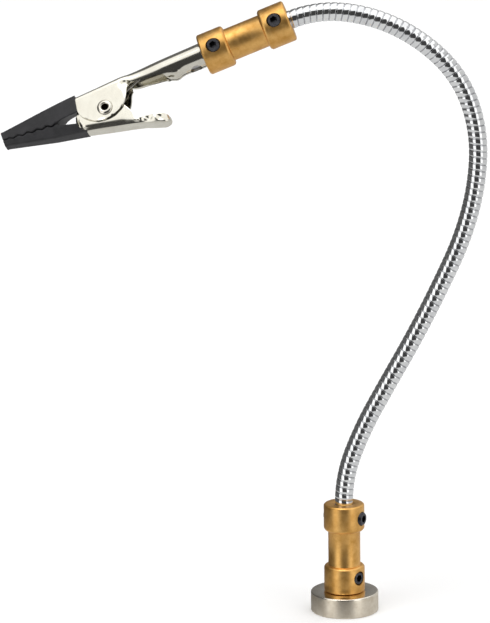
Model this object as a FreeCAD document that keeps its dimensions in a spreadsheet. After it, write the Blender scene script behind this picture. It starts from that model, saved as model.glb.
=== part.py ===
import FreeCAD, Part

import math
import os
import sys

import Sketcher
from FreeCAD import Placement, Rotation, Vector

# A flexible third-hand arm: a round magnet foot, two brass shaft couplers, a bent gooseneck
# between them, and a sprung alligator clip with sleeved jaws.
# Origin: centre of the magnet's underside.  +Z is up.  The gooseneck bends in the XZ plane,
# out to +X and back over, and the clip points to -X.

SIZES = [
    # magnet foot
    ("magnet_diameter", 15.0, "ring magnet, outside"),
    ("magnet_thickness", 4.5, "ring magnet, height"),
    ("magnet_hole_diameter", 4.3, "clearance hole for the foot screw"),
    ("magnet_sink_diameter", 8.4, "countersink at the underside"),
    ("magnet_edge_radius", 0.45, "tumbled edges"),
    # countersunk foot screw, M4 x 12
    ("foot_screw_recess", 0.3, "head sits this far above the resting face"),
    ("foot_screw_length", 12.0, "overall, with the head"),
    ("foot_screw_core_diameter", 3.24, "root of the M4 thread"),
    ("foot_screw_rim", 0.2, "straight rim of the head"),
    ("foot_screw_head_clearance", 0.05, "radial, head in the countersink"),
    ("foot_screw_chamfer", 0.4, "end of the thread"),
    ("foot_screw_socket_width", 2.5, "hex socket across flats"),
    ("foot_screw_socket_depth", 1.4, "hex socket depth"),
    # brass couplers
    ("coupler_diameter", 9.0, "two heads"),
    ("coupler_length", 20.0, "overall"),
    ("coupler_head_length", 6.0, "each head"),
    ("coupler_neck_diameter", 7.1, "turned-down middle"),
    ("coupler_bore_clearance", 0.03, "radial, bore over the gooseneck and the stud"),
    ("coupler_chamfer", 0.3, "outer rims"),
    ("coupler_mouth_chamfer", 0.25, "bore mouths"),
    # grub screws, M3 x 3
    ("grub_thread_diameter", 3.0, "tapped hole"),
    ("grub_clearance", 0.05, "radial, screw in the tapped hole"),
    ("grub_length", 3.0, "screw, end to end"),
    ("grub_tip_chamfer", 0.5, "tip of the screw"),
    ("grub_socket_width", 1.5, "hex socket across flats"),
    ("grub_socket_depth", 1.5, "hex socket depth"),
    ("grub_tip_clearance", 0.02, "between a screw's tip and what it holds"),
    ("foot_grub_turn", 44.0, "lower pair of the foot coupler, degrees from -Y towards +X"),
    ("neck_grub_turn", 60.0, "upper pair of the foot coupler, degrees from -Y towards +X"),
    ("clip_grub_turn", 25.0, "both pairs of the clip coupler, degrees from -Y"),
    # gooseneck
    ("neck_diameter", 4.0, "over the flat wire"),
    ("flat_wire_wall", 0.45, "wall of the flat-wire coil"),
    ("wire_clearance", 0.05, "radial, between the two coils"),
    ("round_wire_wall", 0.55, "wall of the round-wire coil"),
    ("neck_stub", 8.0, "length held in each coupler"),
    ("bend_limit", 12.0, "how far each bend joint turns either way, degrees"),
    ("bend_clearance", 0.03, "left between spans at the limit of a bend"),
    ("span_length", 11.9, "gooseneck length from one bend joint to the next"),
    # clip stud
    ("stud_length", 16.0, "pin as thick as the gooseneck, half in the coupler, half in the clip"),
    ("stud_chamfer", 0.3, "both ends"),
    # clip: distances forward from the coupler's face, and up from the coupler's axis
    ("clip_roll", 35.0, "turn of the clip about the coupler's axis, degrees"),
    ("sheet_thickness", 0.5, "jaw steel"),
    ("pivot_forward", 23.5, "rivet, forward of the coupler"),
    ("pivot_drop", 4.0, "rivet, below the coupler's axis"),
    ("jaw_reach", 46.4, "jaw tips, forward of the coupler"),
    ("ear_forward", 24.1, "centre of the ears' round edge"),
    ("ear_drop", 0.65, "centre of the ears' round edge"),
    ("ear_radius", 5.95, "ears' round edge"),
    ("ear_half_width", 2.8, "outside of the upper jaw's cheeks at the rivet"),
    ("ear_top", 1.1, "upper jaw's back at the rivet, above the coupler's axis"),
    ("tip_top", 0.3, "upper jaw's back at the tip, above the coupler's axis"),
    ("tip_half_width", 1.15, "outside of the jaws at their tips"),
    ("handle_start", 17.2, "where the cheeks run into the rolled handle"),
    ("handle_lap", 1.5, "handle runs on into the cheeks"),
    ("handle_radius", 2.3, "rolled handle at its front"),
    ("handle_edge_drop", 0.9, "handle's long edges below the axis, at its front"),
    ("handle_rear_drop", 1.4, "handle's long edges below the axis, at the barrel"),
    ("barrel_lip", 0.6, "front of the barrel's closed side behind the handle's opening"),
    ("barrel_lip_drop", 2.2, "front of the barrel's closed side below the axis"),
    ("barrel_length", 9.0, "closed barrel"),
    ("barrel_clearance", 0.06, "radial, barrel's front over the stud"),
    ("barrel_flare", 0.2, "barrel widens by this much, radial, towards the coupler"),
    ("barrel_slit", 0.3, "seam along the underside"),
    ("barrel_hole_diameter", 2.6, "screw hole across the seam"),
    ("barrel_hole_forward", 2.4, "screw hole, forward of the coupler"),
    ("parting_slope", 0.1, "rise of the line where the jaws meet, per mm forward"),
    ("tooth_pitch", 2.2, "jaw teeth"),
    ("tooth_height", 0.5, "jaw teeth"),
    ("tooth_count", 5, "jaw teeth"),
    ("tooth_reach", 45.6, "front of the first tooth, forward of the coupler"),
    ("bite_gap", 0.45, "from the parting line to each jaw's bare teeth"),
    ("heel_run", 0.6, "run-out behind the last tooth"),
    ("heel_rise", 0.5, "upper jaw's edge rises this much behind the last tooth"),
    ("heel_drop", 0.65, "lower jaw's edge falls this much behind the last tooth"),
    ("throat_drop", 1.75, "lower jaw's edge below the parting line, at its sleeve"),
    ("cheek_clearance", 0.1, "between the two jaws' cheeks, each side"),
    ("cheek_splay", 0.5, "lower jaw's cheeks lean out by this much from its back"),
    ("lower_web_slope", 0.266, "rise of the lower jaw's back, per mm forward"),
    ("lower_web_drop", 8.55, "lower jaw's back below the coupler's axis, at the rivet"),
    ("tab_end", 11.2, "end of the thumb tab, forward of the coupler"),
    ("tab_half_width", 1.9, "thumb tab"),
    ("tab_flange", 1.6, "height of the thumb tab's side flanges"),
    ("tab_nose", 1.0, "length over which the flanges run down at the tab's end"),
    # rivet
    ("rivet_diameter", 2.4, "tubular shank"),
    ("rivet_bore_diameter", 1.5, "hole through the rivet"),
    ("rivet_head_diameter", 3.4, "rolled heads"),
    ("rivet_head_height", 0.35, "rolled heads"),
    ("rivet_head_round", 0.15, "bevel round the rolled heads"),
    ("rivet_head_seat", 0.02, "between each head and the cheek under it"),
    ("rivet_clearance", 0.04, "radial, in both jaws"),
    # spring
    ("spring_wire", 0.6, "torsion spring wire"),
    ("spring_leg_diameter", 0.5, "straight legs"),
    ("spring_coil_diameter", 3.9, "over the coil"),
    ("spring_side_clearance", 0.5, "each end of the coil, to the lower jaw's cheek"),
    ("spring_handle_leg", 14.5, "end of the upper leg, forward of the coupler"),
    ("spring_handle_leg_rise", 1.1, "end of the upper leg, above the coupler's axis"),
    ("spring_tab_leg", 18.9, "end of the lower leg, forward of the coupler"),
    ("spring_tab_leg_drop", 8.8, "end of the lower leg, below the coupler's axis"),
    # sleeves
    ("sleeve_wall", 0.35, "shrunk sleeve on each jaw"),
    ("sleeve_clearance", 0.03, "between sleeve and steel"),
    ("sleeve_start", 29.2, "rear end of the upper sleeve, forward of the coupler"),
    ("lower_sleeve_start", 30.3, "rear end of the lower sleeve, forward of the coupler"),
    ("sleeve_overhang", 0.45, "sleeve past the jaw's tip"),
]

# Side outline of the lower jaw's ears, forward of the rivet and above it, from front to rear.
LOWER_EAR = [(5.7, 0.6), (3.0, 2.0), (-2.6, 2.0), (-4.1, -0.8), (-5.4, -3.6)]
LOWER_EAR_FRONT_DROP = 1.1
TAB_ROOT = -6.0

# Cutting shapes reach this far past the clip's own sizes.
BEYOND = 10.0

# Turn of each gooseneck span in degrees, from the foot to the clip.  Positive bends to -X.
SPAN_TURNS = [-21.0, -8.0, -0.5, 2.8, 2.0, 9.8, 12.6, 20.6, 26.3, 18.8, 19.8, 28.4]

# Sizes that follow from the ones above.
DERIVED = [
    ("coupler_bore_diameter", "=neck_diameter + 2 * coupler_bore_clearance", "through bore"),
    ("grub_body_diameter", "=grub_thread_diameter - 2 * grub_clearance", "grub screws"),
    ("wrap_inner_diameter", "=neck_diameter - 2 * flat_wire_wall", "inside of the flat coil"),
    ("core_diameter", "=wrap_inner_diameter - 2 * wire_clearance", "over the round coil"),
    ("core_inner_diameter", "=core_diameter - 2 * round_wire_wall", "inside of the round coil"),
    ("stud_diameter", "=neck_diameter", "stud in the coupler's and the barrel's bores"),
    ("barrel_radius", "=stud_diameter / 2 + barrel_clearance + sheet_thickness",
     "barrel at its front, outside"),
    ("barrel_mouth_radius", "=barrel_radius + barrel_flare", "barrel at the coupler, outside"),
    ("inner_cheek", "=ear_half_width - sheet_thickness - cheek_clearance",
     "outside of the lower jaw's cheeks"),
    ("spring_coil_width",
     "=2 * (inner_cheek - sheet_thickness - spring_side_clearance)", "along the rivet"),
]

doc = FreeCAD.newDocument("ThirdHandArm")
sheet = doc.addObject("Spreadsheet::Sheet", "Sizes")


def fill_sheet():
    """Write every driving dimension into the spreadsheet under its own alias."""
    rows = SIZES + [
        (f"span_turn_{number:02d}", turn, f"gooseneck span {number}, degrees")
        for number, turn in enumerate(SPAN_TURNS, start=1)
    ]
    rows += DERIVED
    for row, (alias, value, meaning) in enumerate(rows, start=1):
        sheet.set(f"A{row}", alias)
        sheet.set(f"B{row}", str(value))
        sheet.set(f"C{row}", meaning)
        sheet.setAlias(f"B{row}", alias)
    doc.recompute()


def size(alias):
    """A driving dimension as a plain number."""
    return float(sheet.get(alias))


# ---------------------------------------------------------------- sketches and features

def new_body(label):
    body = doc.addObject("PartDesign::Body", label)
    body.Label = label
    return body


def new_sketch(body, name, role, offset=None):
    """A sketch on one of the body's own origin planes, moved by an optional offset."""
    plane = next(item for item in body.Origin.OriginFeatures if item.Role == role)
    sketch = body.newObject("Sketcher::SketchObject", f"{body.Name}_{name}")
    sketch.AttachmentSupport = [(plane, "")]
    sketch.MapMode = "FlatFace"
    if offset is not None:
        sketch.AttachmentOffset = offset
    return sketch


def pin_point(sketch, element, point, across, up):
    """Hold a sketch point at two distances from the sketch's origin, given as expressions."""
    for kind, expression, axis in (("DistanceX", across, -2), ("DistanceY", up, -1)):
        if expression == "0":
            sketch.addConstraint(Sketcher.Constraint("PointOnObject", element, point, axis))
        else:
            index = sketch.addConstraint(
                Sketcher.Constraint(kind, -1, 1, element, point, 1.0))
            sketch.setExpression(f"Constraints[{index}]", expression)


def add_polygon(sketch, corners):
    """A closed polygon whose corners are pairs of expressions, listed anticlockwise."""
    count = len(corners)
    angles = [2 * math.pi * i / count for i in range(count + 1)]
    rough = [Vector(math.cos(a), math.sin(a), 0) for a in angles]
    for i in range(count):
        sketch.addGeometry(Part.LineSegment(rough[i], rough[i + 1]), False)
    for i in range(count):
        sketch.addConstraint(Sketcher.Constraint("Coincident", i, 2, (i + 1) % count, 1))
    for i, (across, up) in enumerate(corners):
        pin_point(sketch, i, 1, across, up)


def add_circle(sketch, diameter, across="0", up="0"):
    """A circle whose diameter and centre are expressions."""
    element = sketch.addGeometry(Part.Circle(Vector(0, 0, 0), Vector(0, 0, 1), 1.0), False)
    index = sketch.addConstraint(Sketcher.Constraint("Diameter", element, 2.0))
    sketch.setExpression(f"Constraints[{index}]", diameter)
    if across == "0" and up == "0":
        sketch.addConstraint(Sketcher.Constraint("Coincident", element, 3, -1, 1))
    else:
        pin_point(sketch, element, 3, across, up)


def revolve_profile(body, corners):
    """Turn a half section (radius, height) about the body's Z axis."""
    sketch = new_sketch(body, "profile", "XZ_Plane")
    add_polygon(sketch, corners)
    feature = body.newObject("PartDesign::Revolution", f"{body.Name}_turned")
    feature.Profile = sketch
    feature.ReferenceAxis = (sketch, ["V_Axis"])
    feature.Angle = 360.0
    doc.recompute()
    return feature


def cut_through(body, sketch, name):
    """Pocket a sketch right through the body, both ways from its plane."""
    volume = body.Shape.Volume
    feature = body.newObject("PartDesign::Pocket", f"{body.Name}_{name}")
    feature.Profile = sketch
    feature.SideType = "Symmetric"
    feature.Type = "ThroughAll"
    doc.recompute()
    check_cut(body, volume, name)
    return feature


def cut_hexagon(body, width, depth, height):
    """Sink a hexagon socket upwards into a face at the given height."""
    volume = body.Shape.Volume
    offset = Placement(Vector(0, 0, height), Rotation())
    sketch = new_sketch(body, "socket", "XY_Plane", offset)
    corner = f"{width} / 2 / cos(30)"
    add_polygon(sketch, [
        (f"{corner} * cos({60 * i})" if 60 * i % 180 != 90 else "0",
         f"{corner} * sin({60 * i})" if 60 * i % 180 != 0 else "0")
        for i in range(6)
    ])
    feature = body.newObject("PartDesign::Pocket", f"{body.Name}_socket_cut")
    feature.Profile = sketch
    feature.Reversed = True
    feature.setExpression("Length", depth)
    doc.recompute()
    check_cut(body, volume, "socket")


def check_cut(body, volume_before, name):
    if body.Shape.Volume >= volume_before - 1e-6:
        sys.exit(f"{body.Label}: {name} cut nothing")


def fillet_rims(body, base, radius_of_rim, radius):
    """Round the circular edges of one radius."""
    names = [
        f"Edge{i}" for i, edge in enumerate(base.Shape.Edges, start=1)
        if isinstance(edge.Curve, Part.Circle)
        and abs(edge.Curve.Radius - radius_of_rim) < 1e-6
    ]
    feature = body.newObject("PartDesign::Fillet", f"{body.Name}_rims")
    feature.Base = (base, names)
    feature.setExpression("Radius", radius)
    doc.recompute()
    return feature


def add_feature(label, shape):
    """A sub-part whose shape is made directly."""
    feature = doc.addObject("Part::Feature", label)
    feature.Label = label
    feature.Shape = shape
    return feature


# ---------------------------------------------------------------- where things stand

def neck_frames():
    """Point and heading (degrees from +X) at the foot coupler's face and after each span."""
    length = size("span_length")
    point = Vector(0, 0, size("magnet_thickness") + size("coupler_length"))
    heading = 90.0
    frames = [(point, heading)]
    for number in range(1, len(SPAN_TURNS) + 1):
        turn = size(f"span_turn_{number:02d}")
        radius = length / math.radians(turn)
        start = math.radians(heading)
        end = math.radians(heading + turn)
        point = point + Vector(radius * (math.sin(end) - math.sin(start)), 0,
                               radius * (math.cos(start) - math.cos(end)))
        heading += turn
        frames.append((point, heading))
    return frames


def along(heading):
    """Unit vector of a heading in the XZ plane."""
    return Vector(math.cos(math.radians(heading)), 0, math.sin(math.radians(heading)))


def axis_placement(point, direction):
    """A placement whose local Z runs along a direction in the XZ plane, local Y kept."""
    side = Vector(0, 1, 0).cross(direction)
    return Placement(point, Rotation(side, Vector(0, 1, 0), direction, "ZXY"))


def clip_placement():
    """The clip's frame: X forward along the coupler's axis, Z up out of the jaw's back."""
    point, heading = neck_frames()[-1]
    forward = along(heading)
    face = point + forward * size("coupler_length")
    roll = math.radians(size("clip_roll"))
    level_up = Vector(0, 1, 0).cross(forward)
    up = level_up * math.cos(roll) + Vector(0, 1, 0) * math.sin(roll)
    return Placement(face, Rotation(forward, up.cross(forward), up, "XYZ"))


# ---------------------------------------------------------------- foot

def make_magnet():
    body = new_body("foot_magnet")
    rim = "Sizes.magnet_diameter / 2"
    hole = "Sizes.magnet_hole_diameter / 2"
    sink = "Sizes.magnet_sink_diameter / 2"
    turned = revolve_profile(body, [
        (sink, "0"),
        (rim, "0"),
        (rim, "Sizes.magnet_thickness"),
        (hole, "Sizes.magnet_thickness"),
        (hole, f"{sink} - {hole}"),
    ])
    fillet_rims(body, turned, size("magnet_diameter") / 2, "Sizes.magnet_edge_radius")
    return body


def make_foot_screw():
    """Countersunk socket screw up through the magnet; its 90 degree cone seats in the sink."""
    body = new_body("foot_screw")
    low = "Sizes.foot_screw_recess"
    head = ("Sizes.magnet_sink_diameter / 2 - Sizes.foot_screw_recess"
            " - Sizes.foot_screw_head_clearance")
    core = "Sizes.foot_screw_core_diameter / 2"
    top = "Sizes.foot_screw_recess + Sizes.foot_screw_length"
    rim = "Sizes.foot_screw_rim"
    chamfer = "Sizes.foot_screw_chamfer"
    revolve_profile(body, [
        ("0", low),
        (f"{head} - {rim}", low),
        (f"{head} - {rim}", f"{low} + {rim}"),
        (core, f"{low} + {head} - {core}"),
        (core, f"{top} - {chamfer}"),
        (f"{core} - {chamfer}", top),
        ("0", top),
    ])
    cut_hexagon(body, "Sizes.foot_screw_socket_width", "Sizes.foot_screw_socket_depth",
                size("foot_screw_recess"))
    return body


# ---------------------------------------------------------------- couplers and their screws

def make_coupler(label, first_turn, second_turn, placement):
    """A brass sleeve with two heads, a turned-down middle and a tapped hole through each head."""
    body = new_body(label)
    bore = "Sizes.coupler_bore_diameter / 2"
    head = "Sizes.coupler_diameter / 2"
    neck = "Sizes.coupler_neck_diameter / 2"
    chamfer = "Sizes.coupler_chamfer"
    mouth = "Sizes.coupler_mouth_chamfer"
    length = "Sizes.coupler_length"
    head_length = "Sizes.coupler_head_length"
    revolve_profile(body, [
        (f"{bore} + {mouth}", "0"),
        (f"{head} - {chamfer}", "0"),
        (head, chamfer),
        (head, head_length),
        (neck, head_length),
        (neck, f"{length} - {head_length}"),
        (head, f"{length} - {head_length}"),
        (head, f"{length} - {chamfer}"),
        (f"{head} - {chamfer}", length),
        (f"{bore} + {mouth}", length),
        (bore, f"{length} - {mouth}"),
        (bore, mouth),
    ])
    for name, turn, height in (
        ("first_tap", first_turn, f"{head_length} / 2"),
        ("second_tap", second_turn, f"{length} - {head_length} / 2"),
    ):
        spin = Placement(Vector(0, 0, 0), Rotation(Vector(0, 1, 0), turn))
        sketch = new_sketch(body, name, "XZ_Plane", spin)
        add_circle(sketch, "Sizes.grub_thread_diameter", "0", height)
        cut_through(body, sketch, f"{name}_hole")
    body.Placement = placement
    return body


def make_grub_pair(label, turn, height, held_radius, placement):
    """Two opposite grub screws, each a separate solid, with their tips at the held radius."""
    radius = size("grub_body_diameter") / 2
    length = size("grub_length")
    chamfer = size("grub_tip_chamfer")
    tip = Part.makeCone(radius - chamfer, radius, chamfer)
    shank = Part.makeCylinder(radius, length - chamfer, Vector(0, 0, chamfer))
    corner = size("grub_socket_width") / 2 / math.cos(math.radians(30))
    depth = size("grub_socket_depth")
    hexagon = Part.makePolygon([
        Vector(corner * math.cos(math.radians(60 * i)),
               corner * math.sin(math.radians(60 * i)), length - depth)
        for i in range(7)
    ])
    socket = Part.Face(hexagon).extrude(Vector(0, 0, depth))
    screw = tip.fuse(shank).cut(socket).removeSplitter()
    screws = []
    for side in (0, 180):
        outward = Rotation(Vector(0, 0, 1), turn + side).multVec(Vector(0, -1, 0))
        copy = screw.copy()
        start = held_radius + size("grub_tip_clearance")
        copy.Placement = Placement(outward * start + Vector(0, 0, height),
                                   Rotation(Vector(0, 0, 1), outward))
        screws.append(copy)
    feature = add_feature(label, Part.makeCompound(screws))
    feature.Placement = placement
    return feature


def make_foot_coupler():
    stand = Placement(Vector(0, 0, size("magnet_thickness")), Rotation())
    low = size("coupler_head_length") / 2
    high = size("coupler_length") - low
    foot_turn = size("foot_grub_turn")
    neck_turn = size("neck_grub_turn")
    return [
        make_coupler("foot_coupler", foot_turn, neck_turn, stand),
        make_grub_pair("foot_grub_screws", foot_turn, low,
                       size("foot_screw_core_diameter") / 2, stand),
        make_grub_pair("neck_grub_screws", neck_turn, high, size("neck_diameter") / 2, stand),
    ]


def make_clip_coupler():
    point, heading = neck_frames()[-1]
    stand = axis_placement(point, along(heading))
    low = size("coupler_head_length") / 2
    high = size("coupler_length") - low
    turn = size("clip_grub_turn")
    return [
        make_coupler("clip_coupler", turn, turn, stand),
        make_grub_pair("neck_end_grub_screws", turn, low, size("neck_diameter") / 2, stand),
        make_grub_pair("clip_grub_screws", turn, high, size("stud_diameter") / 2, stand),
    ]


# ---------------------------------------------------------------- gooseneck

def add_ring(sketch, outer, inner):
    add_circle(sketch, outer)
    add_circle(sketch, inner)


def bend_axis(sketch, turn):
    """A construction line beside the tube, which the span turns about."""
    line = sketch.addGeometry(Part.LineSegment(Vector(5, -1, 0), Vector(5, 1, 0)), True)
    sketch.addConstraint(Sketcher.Constraint("Vertical", line))
    radius = f"Sizes.span_length * 180 / (pi * abs({turn}))"
    pin_point(sketch, line, 1, radius, "-1")
    length = sketch.addConstraint(Sketcher.Constraint("DistanceY", line, 1, line, 2, 2.0))
    sketch.setDatum(length, FreeCAD.Units.Quantity("2 mm"))


def add_bend(body, sketch, angle, symmetric):
    feature = body.newObject("PartDesign::Revolution", f"{body.Name}_bend")
    feature.Profile = sketch
    feature.ReferenceAxis = (sketch, ["Axis0"])
    feature.Midplane = symmetric
    feature.setExpression("Angle", angle)
    doc.recompute()
    if not symmetric and body.Shape.CenterOfMass.z < 0:
        feature.Reversed = True
        doc.recompute()


def make_span(label, number, outer, inner, frames):
    """One span of tube, from joint to joint, with a stub at a coupler."""
    body = new_body(label)
    turn_cell = f"Sizes.span_turn_{number:02d}"
    turn = size(f"span_turn_{number:02d}")
    # flat ends this far apart just miss each other when the joint is at its limit
    joint_gap = ("(Sizes.neck_diameter * tan(Sizes.bend_limit / 2)"
                 " + Sizes.bend_clearance)")
    last = len(SPAN_TURNS)
    at_foot, at_clip = number == 1, number == last
    sketch = new_sketch(body, "ring", "XY_Plane")
    add_ring(sketch, outer, inner)
    bend_axis(sketch, turn_cell)
    one_gap = f"abs({turn_cell}) * (1 - {joint_gap} / 2 / Sizes.span_length)"
    two_gaps = f"abs({turn_cell}) * (1 - {joint_gap} / Sizes.span_length)"
    side = 1 if turn < 0 else -1
    if at_foot or at_clip:
        add_bend(body, sketch, one_gap, False)
        stub = body.newObject("PartDesign::Pad", f"{body.Name}_stub")
        stub.Profile = sketch
        stub.Reversed = True
        stub.setExpression("Length", "Sizes.neck_stub")
        doc.recompute()
        point, heading = frames[0] if at_foot else frames[last]
        direction = along(heading) if at_foot else along(heading) * -1
        bend_side = side if at_foot else -side
    else:
        add_bend(body, sketch, two_gaps, True)
        start, heading = frames[number - 1]
        heading_middle = heading + turn / 2
        half_chord = (size("span_length") / math.radians(turn)) * 2 * math.sin(
            math.radians(turn) / 4)
        point = start + along(heading + turn / 4) * half_chord
        direction = along(heading_middle)
        bend_side = side
    placement = axis_placement(point, direction)
    if bend_side < 0:
        placement = placement.multiply(Placement(Vector(0, 0, 0),
                                                 Rotation(Vector(0, 0, 1), 180)))
    body.Placement = placement
    return body


def make_gooseneck():
    frames = neck_frames()
    spans = []
    for number in range(1, len(SPAN_TURNS) + 1):
        spans.append(make_span(f"neck_flat_wire_{number:02d}", number,
                               "Sizes.neck_diameter", "Sizes.wrap_inner_diameter", frames))
        spans.append(make_span(f"neck_round_wire_{number:02d}", number,
                               "Sizes.core_diameter", "Sizes.core_inner_diameter", frames))
    return spans


# ---------------------------------------------------------------- clip

def section_loft(stations):
    """A solid through upright four-sided sections.

    Each station is (forward, half width at the bottom, half width at the top, bottom, top).
    """
    wires = [
        Part.makePolygon([
            Vector(forward, -low_half, low), Vector(forward, low_half, low),
            Vector(forward, high_half, high), Vector(forward, -high_half, high),
            Vector(forward, -low_half, low),
        ])
        for forward, low_half, high_half, low, high in stations
    ]
    return Part.makeLoft(wires, True, True)


def side_plate(edges):
    """A plate wider than the clip, cut to a side outline given as edges in the XZ plane."""
    face = Part.Face(Part.Wire(edges))
    face.translate(Vector(0, -BEYOND, 0))
    return face.extrude(Vector(0, 2 * BEYOND, 0))


def outline(points):
    """Straight edges through (forward, up) points."""
    corners = [Vector(forward, 0, up) for forward, up in points]
    return [Part.LineSegment(a, b).toShape() for a, b in zip(corners, corners[1:])]


def parting(forward):
    """Height of the line where the jaws meet, which passes through the rivet."""
    return (forward - size("pivot_forward")) * size("parting_slope") - size("pivot_drop")


def lower_back(forward):
    """Height of the lower jaw's back."""
    rise = (forward - size("pivot_forward")) * size("lower_web_slope")
    return rise - size("lower_web_drop")


def tooth_line(offset):
    """Points of the serrated edge from the tip backwards, at an offset from the parting."""
    pitch = size("tooth_pitch")
    half_height = size("tooth_height") / 2
    front = size("tooth_reach")
    points = []
    for i in range(2 * int(size("tooth_count")) + 1):
        forward = front - i * pitch / 2
        swing = half_height if i % 2 == 0 else -half_height
        points.append((forward, parting(forward) + offset + swing))
    return points


def taper(forward, rear_value, tip_value):
    """A measure that holds as far as the sleeves and then runs evenly to the jaws' tips."""
    length = size("jaw_reach") - size("sleeve_start")
    share = max(0.0, (forward - size("sleeve_start")) / length)
    return rear_value + share * (tip_value - rear_value)


def upper_stations(grow, tip):
    """Sections of the upper jaw's outside, grown outwards by an amount."""
    bottom = -size("ear_drop") - size("ear_radius") - BEYOND
    rows = []
    for forward in (size("handle_start") - 1, size("sleeve_start"), tip):
        half = taper(forward, size("ear_half_width"), size("tip_half_width")) + grow
        top = taper(forward, size("ear_top"), size("tip_top")) + grow
        rows.append((forward, half, half, bottom, top))
    return rows


def upper_outline(grow, tip, rear):
    """Closed side outline of the upper jaw's front from the rear section to the tip."""
    teeth = tooth_line(size("bite_gap") - grow)
    back_edge = parting(teeth[-1][0]) + size("bite_gap") - grow
    start_low = parting(rear) + 2 * size("bite_gap") - grow
    points = [(rear, BEYOND), (tip, BEYOND), (tip, teeth[0][1])] + teeth
    points += [(teeth[-1][0] - size("heel_run"), back_edge + size("heel_rise")),
               (rear, start_low), (rear, BEYOND)]
    return outline(points)


def across_box(length, height, forward, low):
    """A block wider than the clip, from a forward distance and a height."""
    return Part.makeBox(length, 2 * BEYOND, height, Vector(forward, -BEYOND, low))


def across_cylinder(radius, forward, drop):
    """A round bar wider than the clip, crossing it at a point in side view."""
    return Part.makeCylinder(radius, 2 * BEYOND, Vector(forward, -BEYOND, -drop),
                             Vector(0, 1, 0))


def ear_plate():
    """The round-bottomed ears behind the sleeve, joined to the front of the jaw."""
    start = size("handle_start")
    length = size("sleeve_start") - size("sleeve_clearance") - start
    disc = across_cylinder(size("ear_radius"), size("ear_forward"), size("ear_drop"))
    behind_sleeve = across_box(length, 2 * BEYOND, start, -BEYOND)
    top = across_box(length, BEYOND, start, -size("ear_drop"))
    return disc.common(behind_sleeve).fuse(top)


def handle_and_barrel():
    """Half-round handle running back into a closed barrel with a seam underneath."""
    sheet_steel = size("sheet_thickness")
    barrel = size("barrel_length")
    start = size("handle_start") + size("handle_lap")
    forward = Vector(1, 0, 0)
    mouth_radius, front_radius = size("barrel_mouth_radius"), size("barrel_radius")
    handle_radius = size("handle_radius")
    tube = Part.makeCone(mouth_radius, front_radius, barrel, Vector(0, 0, 0), forward)
    tube = tube.fuse(Part.makeCone(front_radius, handle_radius, start - barrel,
                                   Vector(barrel, 0, 0), forward))
    hollow = Part.makeCone(mouth_radius - sheet_steel, front_radius - sheet_steel, barrel,
                           Vector(0, 0, 0), forward)
    hollow = hollow.fuse(Part.makeCone(front_radius - sheet_steel, handle_radius - sheet_steel,
                                       start - barrel, Vector(barrel, 0, 0), forward))
    shell = tube.cut(hollow)
    lip = barrel - size("barrel_lip")
    open_side = side_plate(outline([
        (barrel, -size("handle_rear_drop")), (start + 1, -size("handle_edge_drop")),
        (start + 1, -BEYOND), (lip, -BEYOND), (lip, -size("barrel_lip_drop")),
        (barrel, -size("handle_rear_drop"))]))
    half_slit = size("barrel_slit") / 2
    slit = Part.makeBox(barrel, 2 * half_slit, BEYOND, Vector(0, -half_slit, -BEYOND))
    hole = Part.makeCylinder(size("barrel_hole_diameter") / 2, BEYOND,
                             Vector(size("barrel_hole_forward"), 0, -BEYOND))
    return shell.cut(open_side).cut(slit).cut(hole)


def rivet_hole():
    radius = size("rivet_diameter") / 2 + size("rivet_clearance")
    return across_cylinder(radius, size("pivot_forward"), size("pivot_drop"))


def make_upper_jaw():
    """Fixed jaw: channel with toothed cheeks and round ears, handle and barrel."""
    sheet_steel = size("sheet_thickness")
    tip = size("jaw_reach")
    outside = section_loft(upper_stations(0, tip))
    inside = section_loft(upper_stations(-sheet_steel, tip + 1))
    inside = inside.fuse(section_loft([
        (row[0] - 1.5, row[1], row[2], row[3], row[4])
        for row in upper_stations(-sheet_steel, tip)[:2]]))
    front = side_plate(upper_outline(0, tip, size("sleeve_start") - 0.5)).fuse(ear_plate())
    channel = outside.common(front).cut(inside)
    jaw = channel.fuse(handle_and_barrel()).cut(rivet_hole()).removeSplitter()
    feature = add_feature("upper_jaw", jaw)
    feature.Placement = clip_placement()
    return feature


def lower_stations(grow, tip, rear):
    rows = []
    for forward in (rear, size("sleeve_start"), tip):
        half = taper(forward, size("inner_cheek"), size("tip_half_width")) + grow
        splay = taper(forward, size("cheek_splay"), 0.0)
        rows.append((forward, half - splay, half, lower_back(forward) - grow, 0.0))
    return rows


def lower_outline(grow, tip, rear):
    """Closed side outline of the lower jaw's front, from a rear section to the tip."""
    teeth = tooth_line(grow - size("bite_gap"))
    below = -size("lower_web_drop") - BEYOND
    points = [(rear, below), (tip, below), (tip, teeth[0][1])] + teeth
    points += [(teeth[-1][0] - size("heel_run"), teeth[-1][1] - size("heel_drop")),
               (rear, parting(rear) - size("throat_drop") + grow), (rear, below)]
    return outline(points)


def lower_cheeks():
    """Side outline of the lower jaw behind the sleeve: ear round the rivet, and rear edge."""
    forward, drop = size("pivot_forward"), size("pivot_drop")
    below = -size("lower_web_drop") - BEYOND
    front = size("lower_sleeve_start") - size("sleeve_clearance")
    rear, end = forward + TAB_ROOT, size("tab_end")
    flange = size("tab_flange")
    ear = [(forward + ahead, up - drop) for ahead, up in LOWER_EAR]
    return outline(
        [(front, below), (front, -drop - LOWER_EAR_FRONT_DROP)] + ear
        + [(rear, lower_back(rear) + flange),
           (end + size("tab_nose"), lower_back(end) + flange),
           (end, lower_back(end) + flange / 2), (end, below), (front, below)])


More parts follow.
